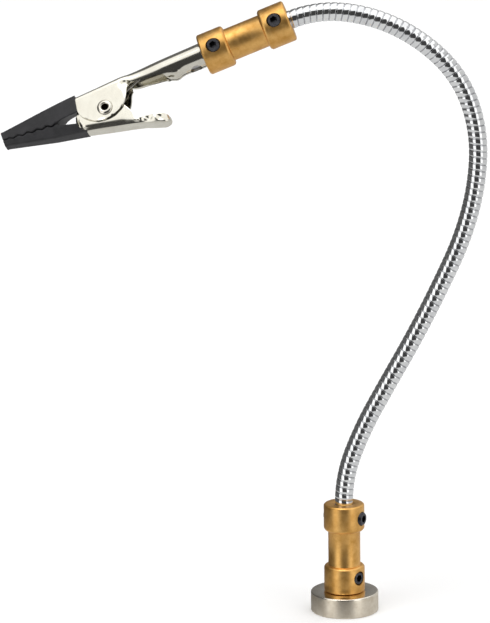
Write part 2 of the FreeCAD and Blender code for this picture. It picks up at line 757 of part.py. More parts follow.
def make_lower_jaw():
    """Moving jaw: channel with toothed cheeks, ears on the rivet and a thumb tab."""
    sheet_steel = size("sheet_thickness")
    tip = size("jaw_reach")
    tab_end = size("tab_end")
    outside = section_loft(lower_stations(0, tip, tab_end - 1))
    inside = section_loft([
        (forward, low_half - sheet_steel, high_half - sheet_steel, low + sheet_steel, 1.0)
        for forward, low_half, high_half, low, _ in lower_stations(0, tip + 1, tab_end - 2)])
    start = size("lower_sleeve_start") - 10 * size("sleeve_clearance")
    sides = side_plate(lower_cheeks()).fuse(side_plate(lower_outline(0, tip, start)))
    channel = outside.common(sides).cut(inside)
    half = size("tab_half_width")
    below = -size("lower_web_drop") - BEYOND
    round_end = Part.makeCylinder(half, -below, Vector(tab_end + half, 0, below)).fuse(
        across_box(tip, -below, tab_end + half, below))
    jaw = channel.common(round_end).cut(rivet_hole()).removeSplitter()
    feature = add_feature("lower_jaw", jaw)
    feature.Placement = clip_placement()
    return feature


def make_sleeves():
    """Thin sleeves shrunk over the front of each jaw, open at both ends."""
    wall = size("sleeve_wall") + size("sleeve_clearance")
    gap = size("sleeve_clearance")
    tip = size("jaw_reach") + size("sleeve_overhang")
    rear = size("sleeve_start")
    outer = section_loft(upper_stations(wall, tip)).common(
        side_plate(upper_outline(wall, tip, rear)))
    inner = section_loft(upper_stations(gap, tip + 1)).common(
        side_plate(upper_outline(gap, tip + 1, rear - 1)))
    upper = add_feature("upper_jaw_sleeve", outer.cut(inner).removeSplitter())
    rear = size("lower_sleeve_start")
    outer = section_loft(lower_stations(wall, tip, rear - 3)).common(
        side_plate(lower_outline(wall, tip, rear)))
    inner = section_loft(lower_stations(gap, tip + 1, rear - 3)).common(
        side_plate(lower_outline(gap, tip + 1, rear - 1)))
    lower = add_feature("lower_jaw_sleeve", outer.cut(inner).removeSplitter())
    for sleeve in (upper, lower):
        sleeve.Placement = clip_placement()
    return [upper, lower]


def make_stud():
    """Steel pin that joins the clip coupler's bore to the clip's barrel."""
    body = new_body("clip_stud")
    radius = "Sizes.stud_diameter / 2"
    chamfer = "Sizes.stud_chamfer"
    revolve_profile(body, [
        ("0", "-Sizes.stud_length / 2"),
        (f"{radius} - {chamfer}", "-Sizes.stud_length / 2"),
        (radius, f"-Sizes.stud_length / 2 + {chamfer}"),
        (radius, f"Sizes.stud_length / 2 - {chamfer}"),
        (f"{radius} - {chamfer}", "Sizes.stud_length / 2"),
        ("0", "Sizes.stud_length / 2"),
    ])
    quarter = Placement(Vector(0, 0, 0), Rotation(Vector(0, 1, 0), 90))
    body.Placement = clip_placement().multiply(quarter)
    return body


def make_rivet():
    """Tubular rivet across both jaws, with a rolled head outside each cheek."""
    body = new_body("pivot_rivet")
    bore = "Sizes.rivet_bore_diameter / 2"
    shank = "Sizes.rivet_diameter / 2"
    head = "Sizes.rivet_head_diameter / 2"
    bevel = "Sizes.rivet_head_round"
    inner = "(Sizes.ear_half_width + Sizes.rivet_head_seat)"
    outer = f"({inner} + Sizes.rivet_head_height)"
    revolve_profile(body, [
        (bore, f"-{outer}"), (f"{head} - {bevel}", f"-{outer}"), (head, f"-{outer} + {bevel}"),
        (head, f"-{inner}"), (shank, f"-{inner}"), (shank, inner), (head, inner),
        (head, f"{outer} - {bevel}"), (f"{head} - {bevel}", outer), (bore, outer),
    ])
    across = Placement(Vector(size("pivot_forward"), 0, -size("pivot_drop")),
                       Rotation(Vector(1, 0, 0), 90))
    body.Placement = clip_placement().multiply(across)
    return body


def make_spring():
    """Torsion spring: a closed coil round the rivet, with a leg to the handle and one to the tab."""
    wire = size("spring_wire") / 2
    leg = size("spring_leg_diameter") / 2
    outer = size("spring_coil_diameter") / 2
    width = size("spring_coil_width")
    pivot = Vector(size("pivot_forward"), 0, -size("pivot_drop"))
    start = pivot - Vector(0, width / 2, 0)
    across = Vector(0, 1, 0)
    coil = Part.makeCylinder(outer, width, start, across)
    coil = coil.cut(Part.makeCylinder(outer - 2 * wire, width, start, across))
    middle = outer - wire
    side = width / 2 - wire
    legs = [
        (pivot + Vector(0, side, middle),
         Vector(size("spring_handle_leg"), side, size("spring_handle_leg_rise"))),
        (pivot + Vector(0, -side, -middle),
         Vector(size("spring_tab_leg"), -side, -size("spring_tab_leg_drop"))),
    ]
    for inner_end, outer_end in legs:
        run = outer_end - inner_end
        coil = coil.fuse(Part.makeCylinder(leg, run.Length, inner_end, run))
    feature = add_feature("jaw_spring", coil.cut(rivet_hole()))
    feature.Placement = clip_placement()
    return feature


# ---------------------------------------------------------------- build and export

def check_document():
    for item in doc.Objects:
        if "Invalid" in item.State or "Error" in item.State:
            sys.exit(f"{item.Label} failed to recompute: {item.State}")


def export(sub_parts):
    os.makedirs("parts", exist_ok=True)
    for item in sub_parts:
        shape = item.Shape
        if shape.isNull() or not shape.isValid() or not shape.Solids:
            sys.exit(f"{item.Label}: bad shape")
        shape.exportStep(os.path.join("parts", f"{item.Label}.step"))
        print(f"{item.Label}: {len(shape.Solids)} solid(s), {shape.Volume:.2f} mm3")


def main():
    fill_sheet()
    sub_parts = [make_magnet(), make_foot_screw()]
    sub_parts += make_foot_coupler()
    sub_parts += make_gooseneck()
    sub_parts += make_clip_coupler()
    sub_parts += [make_stud(), make_upper_jaw(), make_lower_jaw(), make_rivet(), make_spring()]
    sub_parts += make_sleeves()
    doc.recompute()
    check_document()
    export(sub_parts)


main()
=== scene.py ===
"""A flexible third-hand arm: magnet foot, brass couplers, gooseneck and sleeved clip.

Every sub-assembly is a class that holds its sizes in millimetres, makes its meshes in its own
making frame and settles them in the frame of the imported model.
"""

import bisect
import logging
import math
from dataclasses import dataclass
from enum import Enum
from typing import Callable, Mapping, Sequence

import bmesh
import bpy
from mathutils import Matrix, Vector

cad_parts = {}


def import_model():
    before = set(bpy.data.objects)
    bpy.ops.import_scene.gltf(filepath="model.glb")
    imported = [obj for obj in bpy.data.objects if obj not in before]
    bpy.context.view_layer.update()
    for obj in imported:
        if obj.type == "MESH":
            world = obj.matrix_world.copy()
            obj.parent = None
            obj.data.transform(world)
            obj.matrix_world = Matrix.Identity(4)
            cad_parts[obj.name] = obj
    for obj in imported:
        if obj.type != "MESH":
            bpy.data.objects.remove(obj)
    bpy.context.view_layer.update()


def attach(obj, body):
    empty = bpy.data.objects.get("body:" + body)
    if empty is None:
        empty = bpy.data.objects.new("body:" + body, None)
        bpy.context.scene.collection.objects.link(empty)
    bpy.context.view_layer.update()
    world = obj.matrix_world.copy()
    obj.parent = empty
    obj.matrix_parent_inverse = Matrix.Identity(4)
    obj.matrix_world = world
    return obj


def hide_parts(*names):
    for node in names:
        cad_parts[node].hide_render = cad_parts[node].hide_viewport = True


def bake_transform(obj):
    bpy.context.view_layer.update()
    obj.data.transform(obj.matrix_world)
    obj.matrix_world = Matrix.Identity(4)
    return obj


LOG = logging.getLogger("arm")
MM = 0.001
MADE = "made_mm"

Table = Sequence[tuple[float, float]]
Section = list[Vector]


# ------------------------------------------------------------------------------ materials

def srgb(code: str) -> tuple[float, float, float, float]:
    """Turn an sRGB hex value into a linear colour.

    Args:
        code: six hex digits, with or without a leading hash.

    Returns:
        Red, green, blue and alpha, linear.
    """
    digits = code.lstrip("#")
    values = [int(digits[i:i + 2], 16) / 255 for i in (0, 2, 4)]
    linear = [v / 12.92 if v <= 0.04045 else ((v + 0.055) / 1.055) ** 2.4 for v in values]
    return (linear[0], linear[1], linear[2], 1.0)


def add_node(tree: bpy.types.NodeTree, kind: str, settings: Mapping, links: Mapping
             ) -> bpy.types.Node:
    """Add a node with its settings and links.

    Args:
        tree: the node tree it goes in.
        kind: the node's type.
        settings: property or input socket to value.
        links: input socket to the output that feeds it.

    Returns:
        The new node.
    """
    node = tree.nodes.new(kind)
    for key, value in settings.items():
        if isinstance(key, str) and hasattr(node, key):
            setattr(node, key, value)
        else:
            node.inputs[key].default_value = value
    for key, source in links.items():
        tree.links.new(source, node.inputs[key])
    return node


def new_surface(name: str) -> tuple[bpy.types.Material, bpy.types.NodeTree, bpy.types.Node]:
    """Start a material with an empty shader and its output.

    Args:
        name: the material's name.

    Returns:
        The material, its node tree and its shader node.
    """
    material = bpy.data.materials.new(name)
    material.use_nodes = True
    tree = material.node_tree
    tree.nodes.clear()
    shader = tree.nodes.new("ShaderNodeBsdfPrincipled")
    output = tree.nodes.new("ShaderNodeOutputMaterial")
    tree.links.new(shader.outputs["BSDF"], output.inputs["Surface"])
    return material, tree, shader


def clouded(tree: bpy.types.NodeTree, shader: bpy.types.Node, place: bpy.types.NodeSocket,
            noise: Mapping, limits: tuple[float, float], colours: tuple[str, str]
            ) -> bpy.types.NodeSocket:
    """Colour a shader in soft clouds between two colours.

    Args:
        tree: the material's node tree.
        shader: its shader node.
        place: where on the piece, in millimetres.
        noise: settings of the clouds' noise.
        limits: noise levels where the first and where the second colour is pure.
        colours: the two colours, as sRGB hex values.

    Returns:
        The second colour's share at each place.
    """
    cloud = add_node(tree, "ShaderNodeTexNoise", noise, {"Vector": place})
    share = add_node(tree, "ShaderNodeMapRange",
                     {"From Min": limits[0], "From Max": limits[1]},
                     {"Value": cloud.outputs["Fac"]})
    tint = add_node(tree, "ShaderNodeMix",
                    {"data_type": "RGBA", 6: srgb(colours[0]), 7: srgb(colours[1])},
                    {0: share.outputs["Result"]})
    tree.links.new(tint.outputs[2], shader.inputs["Base Color"])
    return share.outputs["Result"]


def textured(tree: bpy.types.NodeTree, shader: bpy.types.Node, relief: bpy.types.NodeSocket,
             depth_mm: float, gloss: bpy.types.NodeSocket, limits: tuple[float, float],
             full: float = 1.0) -> None:
    """Give a shader its relief, and let its roughness follow a pattern.

    Args:
        tree: the material's node tree.
        shader: its shader node.
        relief: the pattern that stands up from the surface.
        depth_mm: how far it stands up.
        gloss: the pattern that the roughness follows.
        limits: roughness where that pattern is 0 and where it is full.
        full: the pattern's level at the second roughness.
    """
    level = add_node(tree, "ShaderNodeMapRange",
                     {"From Max": full, "To Min": limits[0], "To Max": limits[1]},
                     {"Value": gloss})
    tree.links.new(level.outputs["Result"], shader.inputs["Roughness"])
    bump = add_node(tree, "ShaderNodeBump", {"Strength": 1.0, "Distance": depth_mm * MM},
                    {"Height": relief})
    tree.links.new(bump.outputs["Normal"], shader.inputs["Normal"])


@dataclass(frozen=True)
class PlatedMetal:
    """A plated or bare metal: clouded colour and gloss, with a fine grain.

    Lengths are in millimetres, in the piece's making frame.
    """

    name: str
    colour: str
    cloud_colour: str
    roughness: float
    haze: float
    cloud_mm: float = 3.0
    grain_mm: float = 0.25
    grain_depth_mm: float = 0.002
    stretch: tuple[float, float, float] = (1.0, 1.0, 1.0)

    def material(self) -> bpy.types.Material:
        """Build the material, or return it if it has been built."""
        if self.name in bpy.data.materials:
            return bpy.data.materials[self.name]
        material, tree, shader = new_surface(self.name)
        shader.inputs["Metallic"].default_value = 1.0
        made = add_node(tree, "ShaderNodeAttribute", {"attribute_name": MADE}, {})
        place = add_node(tree, "ShaderNodeMapping", {"Scale": self.stretch},
                         {"Vector": made.outputs["Vector"]})
        share = clouded(tree, shader, place.outputs["Vector"],
                        {"Scale": 1 / self.cloud_mm, "Detail": 4.0, "Roughness": 0.6},
                        (0.38, 0.68), (self.colour, self.cloud_colour))
        grain = add_node(tree, "ShaderNodeTexNoise",
                         {"Scale": 1 / self.grain_mm, "Detail": 3.0},
                         {"Vector": place.outputs["Vector"]})
        both = add_node(tree, "ShaderNodeMath", {"operation": "MULTIPLY"},
                        {0: share, 1: grain.outputs["Fac"]})
        textured(tree, shader, grain.outputs["Fac"], self.grain_depth_mm,
                 both.outputs["Value"], (self.roughness, self.roughness + self.haze), full=0.6)
        return material


@dataclass(frozen=True)
class TurnedBrass:
    """Free-cutting brass off an automatic lathe: fine feed lines run round it."""

    name: str = "Turned brass"
    colour: str = "#f0be72"
    dark_colour: str = "#d09a4e"
    roughness: float = 0.3
    haze: float = 0.18
    feed_mm: float = 0.3
    feed_depth_mm: float = 0.0035
    cloud_mm: float = 2.2

    def material(self) -> bpy.types.Material:
        """Build the material, or return it if it has been built."""
        if self.name in bpy.data.materials:
            return bpy.data.materials[self.name]
        material, tree, shader = new_surface(self.name)
        shader.inputs["Metallic"].default_value = 1.0
        made = add_node(tree, "ShaderNodeAttribute", {"attribute_name": MADE}, {})
        # the real feed is about 0.1 mm, drawn three times as coarse so that it shows
        feed = add_node(tree, "ShaderNodeTexNoise",
                        {"Scale": 1.0, "Detail": 2.0, "Roughness": 0.7},
                        {"Vector": add_node(
                            tree, "ShaderNodeMapping",
                            {"Scale": (0.15, 0.15, 1 / self.feed_mm)},
                            {"Vector": made.outputs["Vector"]}).outputs["Vector"]})
        clouded(tree, shader, made.outputs["Vector"],
                {"Scale": 1 / self.cloud_mm, "Detail": 5.0, "Roughness": 0.65},
                (0.35, 0.7), (self.colour, self.dark_colour))
        textured(tree, shader, feed.outputs["Fac"], self.feed_depth_mm, feed.outputs["Fac"],
                 (self.roughness, self.roughness + self.haze))
        return material


@dataclass(frozen=True)
class ShrunkSleeving:
    """Cross-linked polyolefin sleeving, shrunk with hot air: matte, faintly pebbled and dusty."""

    name: str = "Heat-shrunk polyolefin"
    colour: str = "#222224"
    dusty_colour: str = "#2f2e31"
    smooth_roughness: float = 0.44
    dusty_roughness: float = 0.67
    pebble_mm: float = 0.45
    pebble_depth_mm: float = 0.012
    cloud_mm: float = 2.6

    def material(self) -> bpy.types.Material:
        """Build the material, or return it if it has been built."""
        if self.name in bpy.data.materials:
            return bpy.data.materials[self.name]
        material, tree, shader = new_surface(self.name)
        shader.inputs["IOR"].default_value = 1.5
        shader.inputs["Specular IOR Level"].default_value = 0.45
        made = add_node(tree, "ShaderNodeAttribute", {"attribute_name": MADE}, {})
        clouded(tree, shader, made.outputs["Vector"],
                {"Scale": 1 / self.cloud_mm, "Detail": 6.0, "Roughness": 0.7},
                (0.4, 0.75), (self.colour, self.dusty_colour))
        pebble = add_node(tree, "ShaderNodeTexNoise",
                          {"Scale": 1 / self.pebble_mm, "Detail": 3.0},
                          {"Vector": made.outputs["Vector"]})
        textured(tree, shader, pebble.outputs["Fac"], self.pebble_depth_mm,
                 pebble.outputs["Fac"], (self.smooth_roughness, self.dusty_roughness))
        return material


# Sintered magnets are tumbled before they are plated, so the nickel is satin and clouded.
MAGNET_NICKEL = PlatedMetal("Tumbled nickel plate", "#e6dcca", "#d6cab6", 0.34, 0.12,
                            cloud_mm=1.6, grain_mm=0.16, grain_depth_mm=0.0012)
# The pole face is lapped flat before plating and mirrors what stands on it.
POLE_NICKEL = PlatedMetal("Lapped nickel plate", "#ece5d8", "#dcd2c2", 0.13, 0.08,
                          cloud_mm=2.0, grain_depth_mm=0.0003)
# Zinc on a rolled-thread screw is bluish and slightly milky.
SCREW_ZINC = PlatedMetal("Zinc-plated steel", "#b4b6b8", "#8f9194", 0.3, 0.2)
# Black oxide only darkens the steel, which keeps a soft metal shine.
GRUB_OXIDE = PlatedMetal("Black-oxide steel", "#56565a", "#3c3c40", 0.24, 0.12, cloud_mm=0.8)
# Decorative chrome over polished wire: mirror bright, hardly clouded.
NECK_CHROME = PlatedMetal("Mirror chrome plate", "#eceded", "#dcdddf", 0.05, 0.05,
                          cloud_mm=4.0, grain_depth_mm=0.0006)
# The round wire is drawn and plated but not buffed after coiling.
NECK_WIRE = PlatedMetal("Drawn plated wire", "#c9cacc", "#a9aaad", 0.12, 0.1,
                        cloud_mm=2.0, grain_depth_mm=0.001)
# Bright nickel is warm beside chrome, with handling haze in soft clouds.
JAW_NICKEL = PlatedMetal("Bright nickel plate", "#dfdcd0", "#d5d1c4", 0.11, 0.05,
                         cloud_mm=3.5, grain_mm=0.3, grain_depth_mm=0.00012)
# The rivet is the same nickel, brightened where its heads were rolled.
RIVET_NICKEL = PlatedMetal("Rolled nickel plate", "#d9d5ca", "#bdb7ab", 0.14, 0.08,
                           cloud_mm=1.0, grain_depth_mm=0.0008)
# The inside of the rivet's tube is painted near-black brown: painted shade in the bore.
RIVET_BORE_SHADE = PlatedMetal("Painted bore shade", "#4a3a2a", "#1d1712", 0.45, 0.3,
                         cloud_mm=0.8)
# Music wire keeps its drawing lines and a grey cast.
SPRING_WIRE = PlatedMetal("Plated music wire", "#a8a59f", "#85817b", 0.25, 0.2, cloud_mm=1.0)
# Ground bar stock is plain and fine-lined along its length.
STUD_STEEL = PlatedMetal("Ground steel bar", "#b3b3b2", "#96969a", 0.25, 0.15,
                         stretch=(1.0, 1.0, 0.1))
BRASS = TurnedBrass()
SLEEVING = ShrunkSleeving()


# ------------------------------------------------------------------------------ mesh tools

def follow(table: Table, at: float) -> float:
    """Read a table smoothly, without overshooting its points.

    Args:
        table: rows of (position, value), positions rising.
        at: the position to read.

    Returns:
        The value there, held flat past the table's ends.
    """
    places = [row[0] for row in table]
    values = [row[1] for row in table]
    if at <= places[0]:
        return values[0]
    if at >= places[-1]:
        return values[-1]
    i = bisect.bisect_right(places, at) - 1

    def secant(k: int) -> float:
        """Slope from one point to the next."""
        return (values[k + 1] - values[k]) / (places[k + 1] - places[k])

    def tangent(k: int) -> float:
        """Slope at a point, level where the table turns."""
        before = secant(max(k - 1, 0))
        after = secant(min(k, len(places) - 2))
        return 0.0 if before * after <= 0 else 2 * before * after / (before + after)

    run = places[i + 1] - places[i]
    t = (at - places[i]) / run
    return (values[i] * (1 + 2 * t) * (1 - t) ** 2 + values[i + 1] * t * t * (3 - 2 * t)
            + run * (tangent(i) * t * (1 - t) ** 2 - tangent(i + 1) * t * t * (1 - t)))


def lathe(profile: Table, steps: int = 96) -> bmesh.types.BMesh:
    """Turn a profile about Z into a closed shell.

    Args:
        profile: corners of (radius, height); the outline is closed, or ends on the axis.
        steps: facets round the turn.

    Returns:
        The shell, normals outwards.
    """
    shell = bmesh.new()
    corners = [shell.verts.new((radius, 0.0, height)) for radius, height in profile]
    edges = [shell.edges.new(pair) for pair in zip(corners, corners[1:])]
    if profile[0][0] > 0:
        edges.append(shell.edges.new((corners[-1], corners[0])))
    bmesh.ops.spin(shell, geom=corners + edges, cent=(0, 0, 0), axis=(0, 0, 1),
                   angle=2 * math.pi, steps=steps, use_merge=True)
    bmesh.ops.remove_doubles(shell, verts=shell.verts, dist=1e-4)
    bmesh.ops.recalc_face_normals(shell, faces=shell.faces)
    return shell


def soften(shell: bmesh.types.BMesh, width: float, above: float = 35.0, segments: int = 3
           ) -> None:
    """Round every edge that is sharper than an angle.

    Args:
        shell: the mesh.
        width: bevel width in millimetres.
        above: angle between faces, in degrees.
        segments: steps across each rounded edge.
    """
    limit = math.radians(above)
    edges = [e for e in shell.edges if e.is_manifold and e.calc_face_angle(0.0) > limit]
    bmesh.ops.bevel(shell, geom=edges, offset=width, offset_type="OFFSET", affect="EDGES",
                    segments=segments, profile=0.5, material=-1, clamp_overlap=True)


def formed_sheet(sections: Sequence[Section], closed: bool = False) -> bmesh.types.BMesh:
    """Form a flat grid to a row of cross-sections with equal point counts.

    Args:
        sections: the cross-sections, in order.
        closed: each section's last point meets its first.

    Returns:
        The formed surface, without thickness.
    """
    rows, columns = len(sections), len(sections[0])
    skin = bmesh.new()
    bmesh.ops.create_grid(skin, x_segments=columns - 1, y_segments=rows - 1, size=0.5)
    for vert in skin.verts:
        column = round((vert.co.x + 0.5) * (columns - 1))
        row = round((vert.co.y + 0.5) * (rows - 1))
        vert.co = sections[row][column]
    if closed:
        bmesh.ops.remove_doubles(skin, verts=skin.verts, dist=1e-4)
    return skin


def thicken(skin: bmesh.types.BMesh, wall: float, inside: Callable[[Vector], Vector]) -> None:
    """Give a formed surface its wall, inwards.

    Args:
        skin: the outer surface.
        wall: thickness in millimetres.
        inside: for a face's centre, a point on the hollow side of it.
    """
    skin.normal_update()
    towards = sum(f.calc_area() * f.normal.dot(f.calc_center_median()
                                               - inside(f.calc_center_median()))
                  for f in skin.faces)
    if towards < 0:
        bmesh.ops.reverse_faces(skin, faces=skin.faces)
    bmesh.ops.solidify(skin, geom=skin.faces[:], thickness=wall)


def to_object(shell: bmesh.types.BMesh, name: str) -> bpy.types.Object:
    """Put a finished mesh into the scene, still in its making frame and in millimetres.

    Args:
        shell: the mesh; it is used up.
        name: the object's name.

    Returns:
        The new object.
    """
    mesh = bpy.data.meshes.new(name)
    shell.to_mesh(mesh)
    shell.free()
    piece = bpy.data.objects.new(name, mesh)
    bpy.context.scene.collection.objects.link(piece)
    return piece


def carve(piece: bpy.types.Object, cutter: bmesh.types.BMesh) -> None:
    """Cut one mesh out of another.

    Args:
        piece: what is cut.
        cutter: the mesh that is taken away; it is used up.
    """
    tool = to_object(cutter, "cutter")
    modifier = piece.modifiers.new("cut", "BOOLEAN")
    modifier.operation = "DIFFERENCE"
    modifier.solver = "EXACT"
    modifier.object = tool
    bpy.context.view_layer.update()
    view = piece.evaluated_get(bpy.context.evaluated_depsgraph_get())
    result = bpy.data.meshes.new_from_object(view)
    old = piece.data
    LOG.info("%s: %d faces before the cut, %d after", piece.name, len(old.polygons),
             len(result.polygons))
    piece.modifiers.clear()
    piece.data = result
    result.name = old.name
    bpy.data.meshes.remove(old)
    used = tool.data
    bpy.data.objects.remove(tool)
    bpy.data.meshes.remove(used)


@dataclass
class Berth:
    """What a piece is settled with: its body, the nodes it stands for, a slot name and its finish.
    """

    body: str
    nodes: tuple[str, ...]
    slot: str
    finish: PlatedMetal | TurnedBrass | ShrunkSleeving
    smooth_below: float = 32.0


def settle(piece: bpy.types.Object, carry: Callable[[Vector], Vector], berth: Berth
           ) -> bpy.types.Object:
    """Record the making frame on a piece, move it into place, dress it and report it.

    Args:
        piece: a piece in its making frame, in millimetres.
        carry: takes a making-frame point to its place, both in millimetres.
        berth: body, nodes and finish; its slot is not used.

    Returns:
        The piece.
    """
    mesh = piece.data
    made = mesh.attributes.new(MADE, "FLOAT_VECTOR", "POINT")
    for vert, value in zip(mesh.vertices, made.data):
        value.vector = vert.co
    for vert in mesh.vertices:
        vert.co = carry(vert.co) * MM
    mesh.shade_smooth()
    mesh.set_sharp_from_angle(angle=math.radians(berth.smooth_below))
    mesh.materials.clear()
    mesh.materials.append(berth.finish.material())
    if berth.body:
        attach(piece, berth.body)
    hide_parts(*berth.nodes)
    LOG.info("%s: %d faces on %s", piece.name, len(mesh.polygons), berth.body)
    return piece


def refinish(piece: bpy.types.Object, finish: PlatedMetal,
             chosen: Callable[[Vector], bool]) -> None:
    """Give some faces of a settled piece a second finish.

    Args:
        piece: the settled piece.
        finish: the second finish.
        chosen: tells from a face's centre in the making frame whether it takes the finish.
    """
    mesh = piece.data
    mesh.materials.append(finish.material())
    made = [value.vector.copy() for value in mesh.attributes[MADE].data]
    for polygon in mesh.polygons:
        corners = [made[i] for i in polygon.vertices]
        if chosen(sum(corners, Vector()) / len(corners)):
            polygon.material_index = 1


def by_matrix(matrix: Matrix) -> Callable[[Vector], Vector]:
    """A carrier that applies one matrix, in millimetres."""
    return lambda point: matrix @ point


# ------------------------------------------------------------------------------ the neck's line

@dataclass
class NeckLine:
    """The gooseneck's centre line: equal arcs in the XZ plane from the foot coupler's face."""

    foot_height: float = 24.5
    span: float = 11.9
    turns: tuple[float, ...] = (-21.0, -8.0, -0.5, 2.8, 2.0, 9.8, 12.6, 20.6, 26.3, 18.8,
                                19.8, 28.4)

    def frames(self) -> list[tuple[Vector, float]]:
        """Follow the arcs.

        Returns:
            Point and heading, in radians from +X, at the start and after each arc.
        """
        point, heading = Vector((0.0, 0.0, self.foot_height)), math.pi / 2
        rows = [(point.copy(), heading)]
        for degrees in self.turns:
            turn = math.radians(degrees)
            radius = self.span / turn
            point = point + Vector((radius * (math.sin(heading + turn) - math.sin(heading)), 0,
                                    radius * (math.cos(heading) - math.cos(heading + turn))))
            heading += turn
            rows.append((point.copy(), heading))
        return rows

    def length(self) -> float:
        """Length between the two couplers' faces."""
        return self.span * len(self.turns)

    def at(self, distance: float) -> tuple[Vector, float]:
        """Find a place on the line, or on its straight run inside a coupler.

        Args:
            distance: from the foot coupler's face, along the line.

        Returns:
            The point, and the heading in radians from +X.
        """
        rows = self.frames()
        if distance <= 0:
            point, heading = rows[0]
            return point + ahead(heading) * distance, heading
        if distance >= self.length():
            point, heading = rows[-1]
            return point + ahead(heading) * (distance - self.length()), heading
        number = min(int(distance / self.span), len(self.turns) - 1)
        point, heading = rows[number]
        turn = math.radians(self.turns[number]) * (distance / self.span - number)
        radius = self.span / math.radians(self.turns[number])
        return point + Vector((radius * (math.sin(heading + turn) - math.sin(heading)), 0,
                               radius * (math.cos(heading) - math.cos(heading + turn)))
                              ), heading + turn

    def carrier(self) -> Callable[[Vector], Vector]:
        """Prepare the move from the straight neck, along Z from 0, to the bent one.

        Returns:
            A function that takes a point of the straight neck to its place.
        """
        found: dict[float, tuple[Vector, float]] = {}

        def carry(point: Vector) -> Vector:
            """Place one point of the straight neck."""
            distance = round(point.z, 5)
            if distance not in found:
                found[distance] = self.at(distance)
            base, heading = found[distance]
            side = Vector((math.sin(heading), 0.0, -math.cos(heading)))
            return base + side * point.x + Vector((0.0, point.y, 0.0))

        return carry


def ahead(heading: float) -> Vector:
    """Unit vector of a heading in the XZ plane."""
    return Vector((math.cos(heading), 0.0, math.sin(heading)))


def stand_on(point: Vector, heading: float) -> Matrix:
    """Make a frame whose Z runs along a heading and whose Y is the world's.

    Args:
        point: the frame's origin.
        heading: in the XZ plane, in radians from +X.

    Returns:
        The frame's matrix.
    """
    forward = ahead(heading)
    side = Vector((0, 1, 0)).cross(forward)
    turn = Matrix((side, Vector((0, 1, 0)), forward)).transposed().to_4x4()
    return Matrix.Translation(point) @ turn


# ------------------------------------------------------------------------------ couplers

@dataclass
class GrubScrews:
    """Two opposite M3 grub screws in one head of a coupler."""

    diameter: float = 2.9
    socket_width: float = 1.5
    socket_depth: float = 1.5
    thread_pitch: float = 0.5
    thread_depth: float = 0.16
    tip_chamfer: float = 0.5
    rim_chamfer: float = 0.18

    def profile(self, length: float) -> list[tuple[float, float]]:
        """Draw the half section from the tip's centre, over the thread, to the socket end.

        Args:
            length: of the screw.

        Returns:
            Corners of (radius, height).
        """
        radius = self.diameter / 2
        corners = [(0.0, 0.0), (radius - self.tip_chamfer, 0.0),
                   (radius - self.thread_depth, self.tip_chamfer)]
        height = self.tip_chamfer
        while height + self.thread_pitch < length - self.rim_chamfer:
            corners += [(radius, height + self.thread_pitch * 0.4),
                        (radius, height + self.thread_pitch * 0.55),
                        (radius - self.thread_depth, height + self.thread_pitch * 0.95)]
            height += self.thread_pitch
        corners += [(radius, length - self.rim_chamfer - 0.05),
                    (radius - self.rim_chamfer, length), (0.0, length)]
        return corners

    def screw(self, length: float) -> bpy.types.Object:
        """Make one screw on Z with its tip at 0 and its socket cut.

        Args:
            length: of the screw.

        Returns:
            The screw's object.
        """
        piece = to_object(lathe(self.profile(length), steps=48), "grub_screw")
        socket = bmesh.new()
        corner = self.socket_width / 2 / math.cos(math.radians(30))
        bmesh.ops.create_cone(
            socket, cap_ends=True, segments=6, radius1=corner * 0.96, radius2=corner,
            depth=2 * self.socket_depth,
            matrix=Matrix.Translation((0, 0, length)) @ Matrix.Rotation(0.3, 4, "Z"))
        carve(piece, socket)
        return piece

    def make(self, name: str, stand: Matrix, height: float, turn: float, held: float,
             lengths: tuple[float, float], berth: Berth) -> None:
        """Make both screws of a head as one piece.

        Args:
            name: the piece's name.
            stand: the coupler's frame.
            height: the screws' height along the coupler.
            turn: degrees from -Y towards +X.
            held: radius of what the tips touch.
            lengths: of the screw at that turn and of the opposite one.
            berth: where the piece ends up.
        """
        pair = bmesh.new()
        for side, length in zip((0.0, 180.0), lengths):
            single = self.screw(length)
            copy = single.data
            # the screw's Z axis is laid over to -Y and then turned about the coupler
            copy.transform(Matrix.Translation((0, 0, height))
                           @ Matrix.Rotation(math.radians(turn + side), 4, "Z")
                           @ Matrix.Rotation(math.radians(90), 4, "X")
                           @ Matrix.Translation((0, 0, held + 0.02)))
            pair.from_mesh(copy)
            bpy.data.objects.remove(single)
            bpy.data.meshes.remove(copy)
        settle(to_object(pair, name), by_matrix(stand), berth)


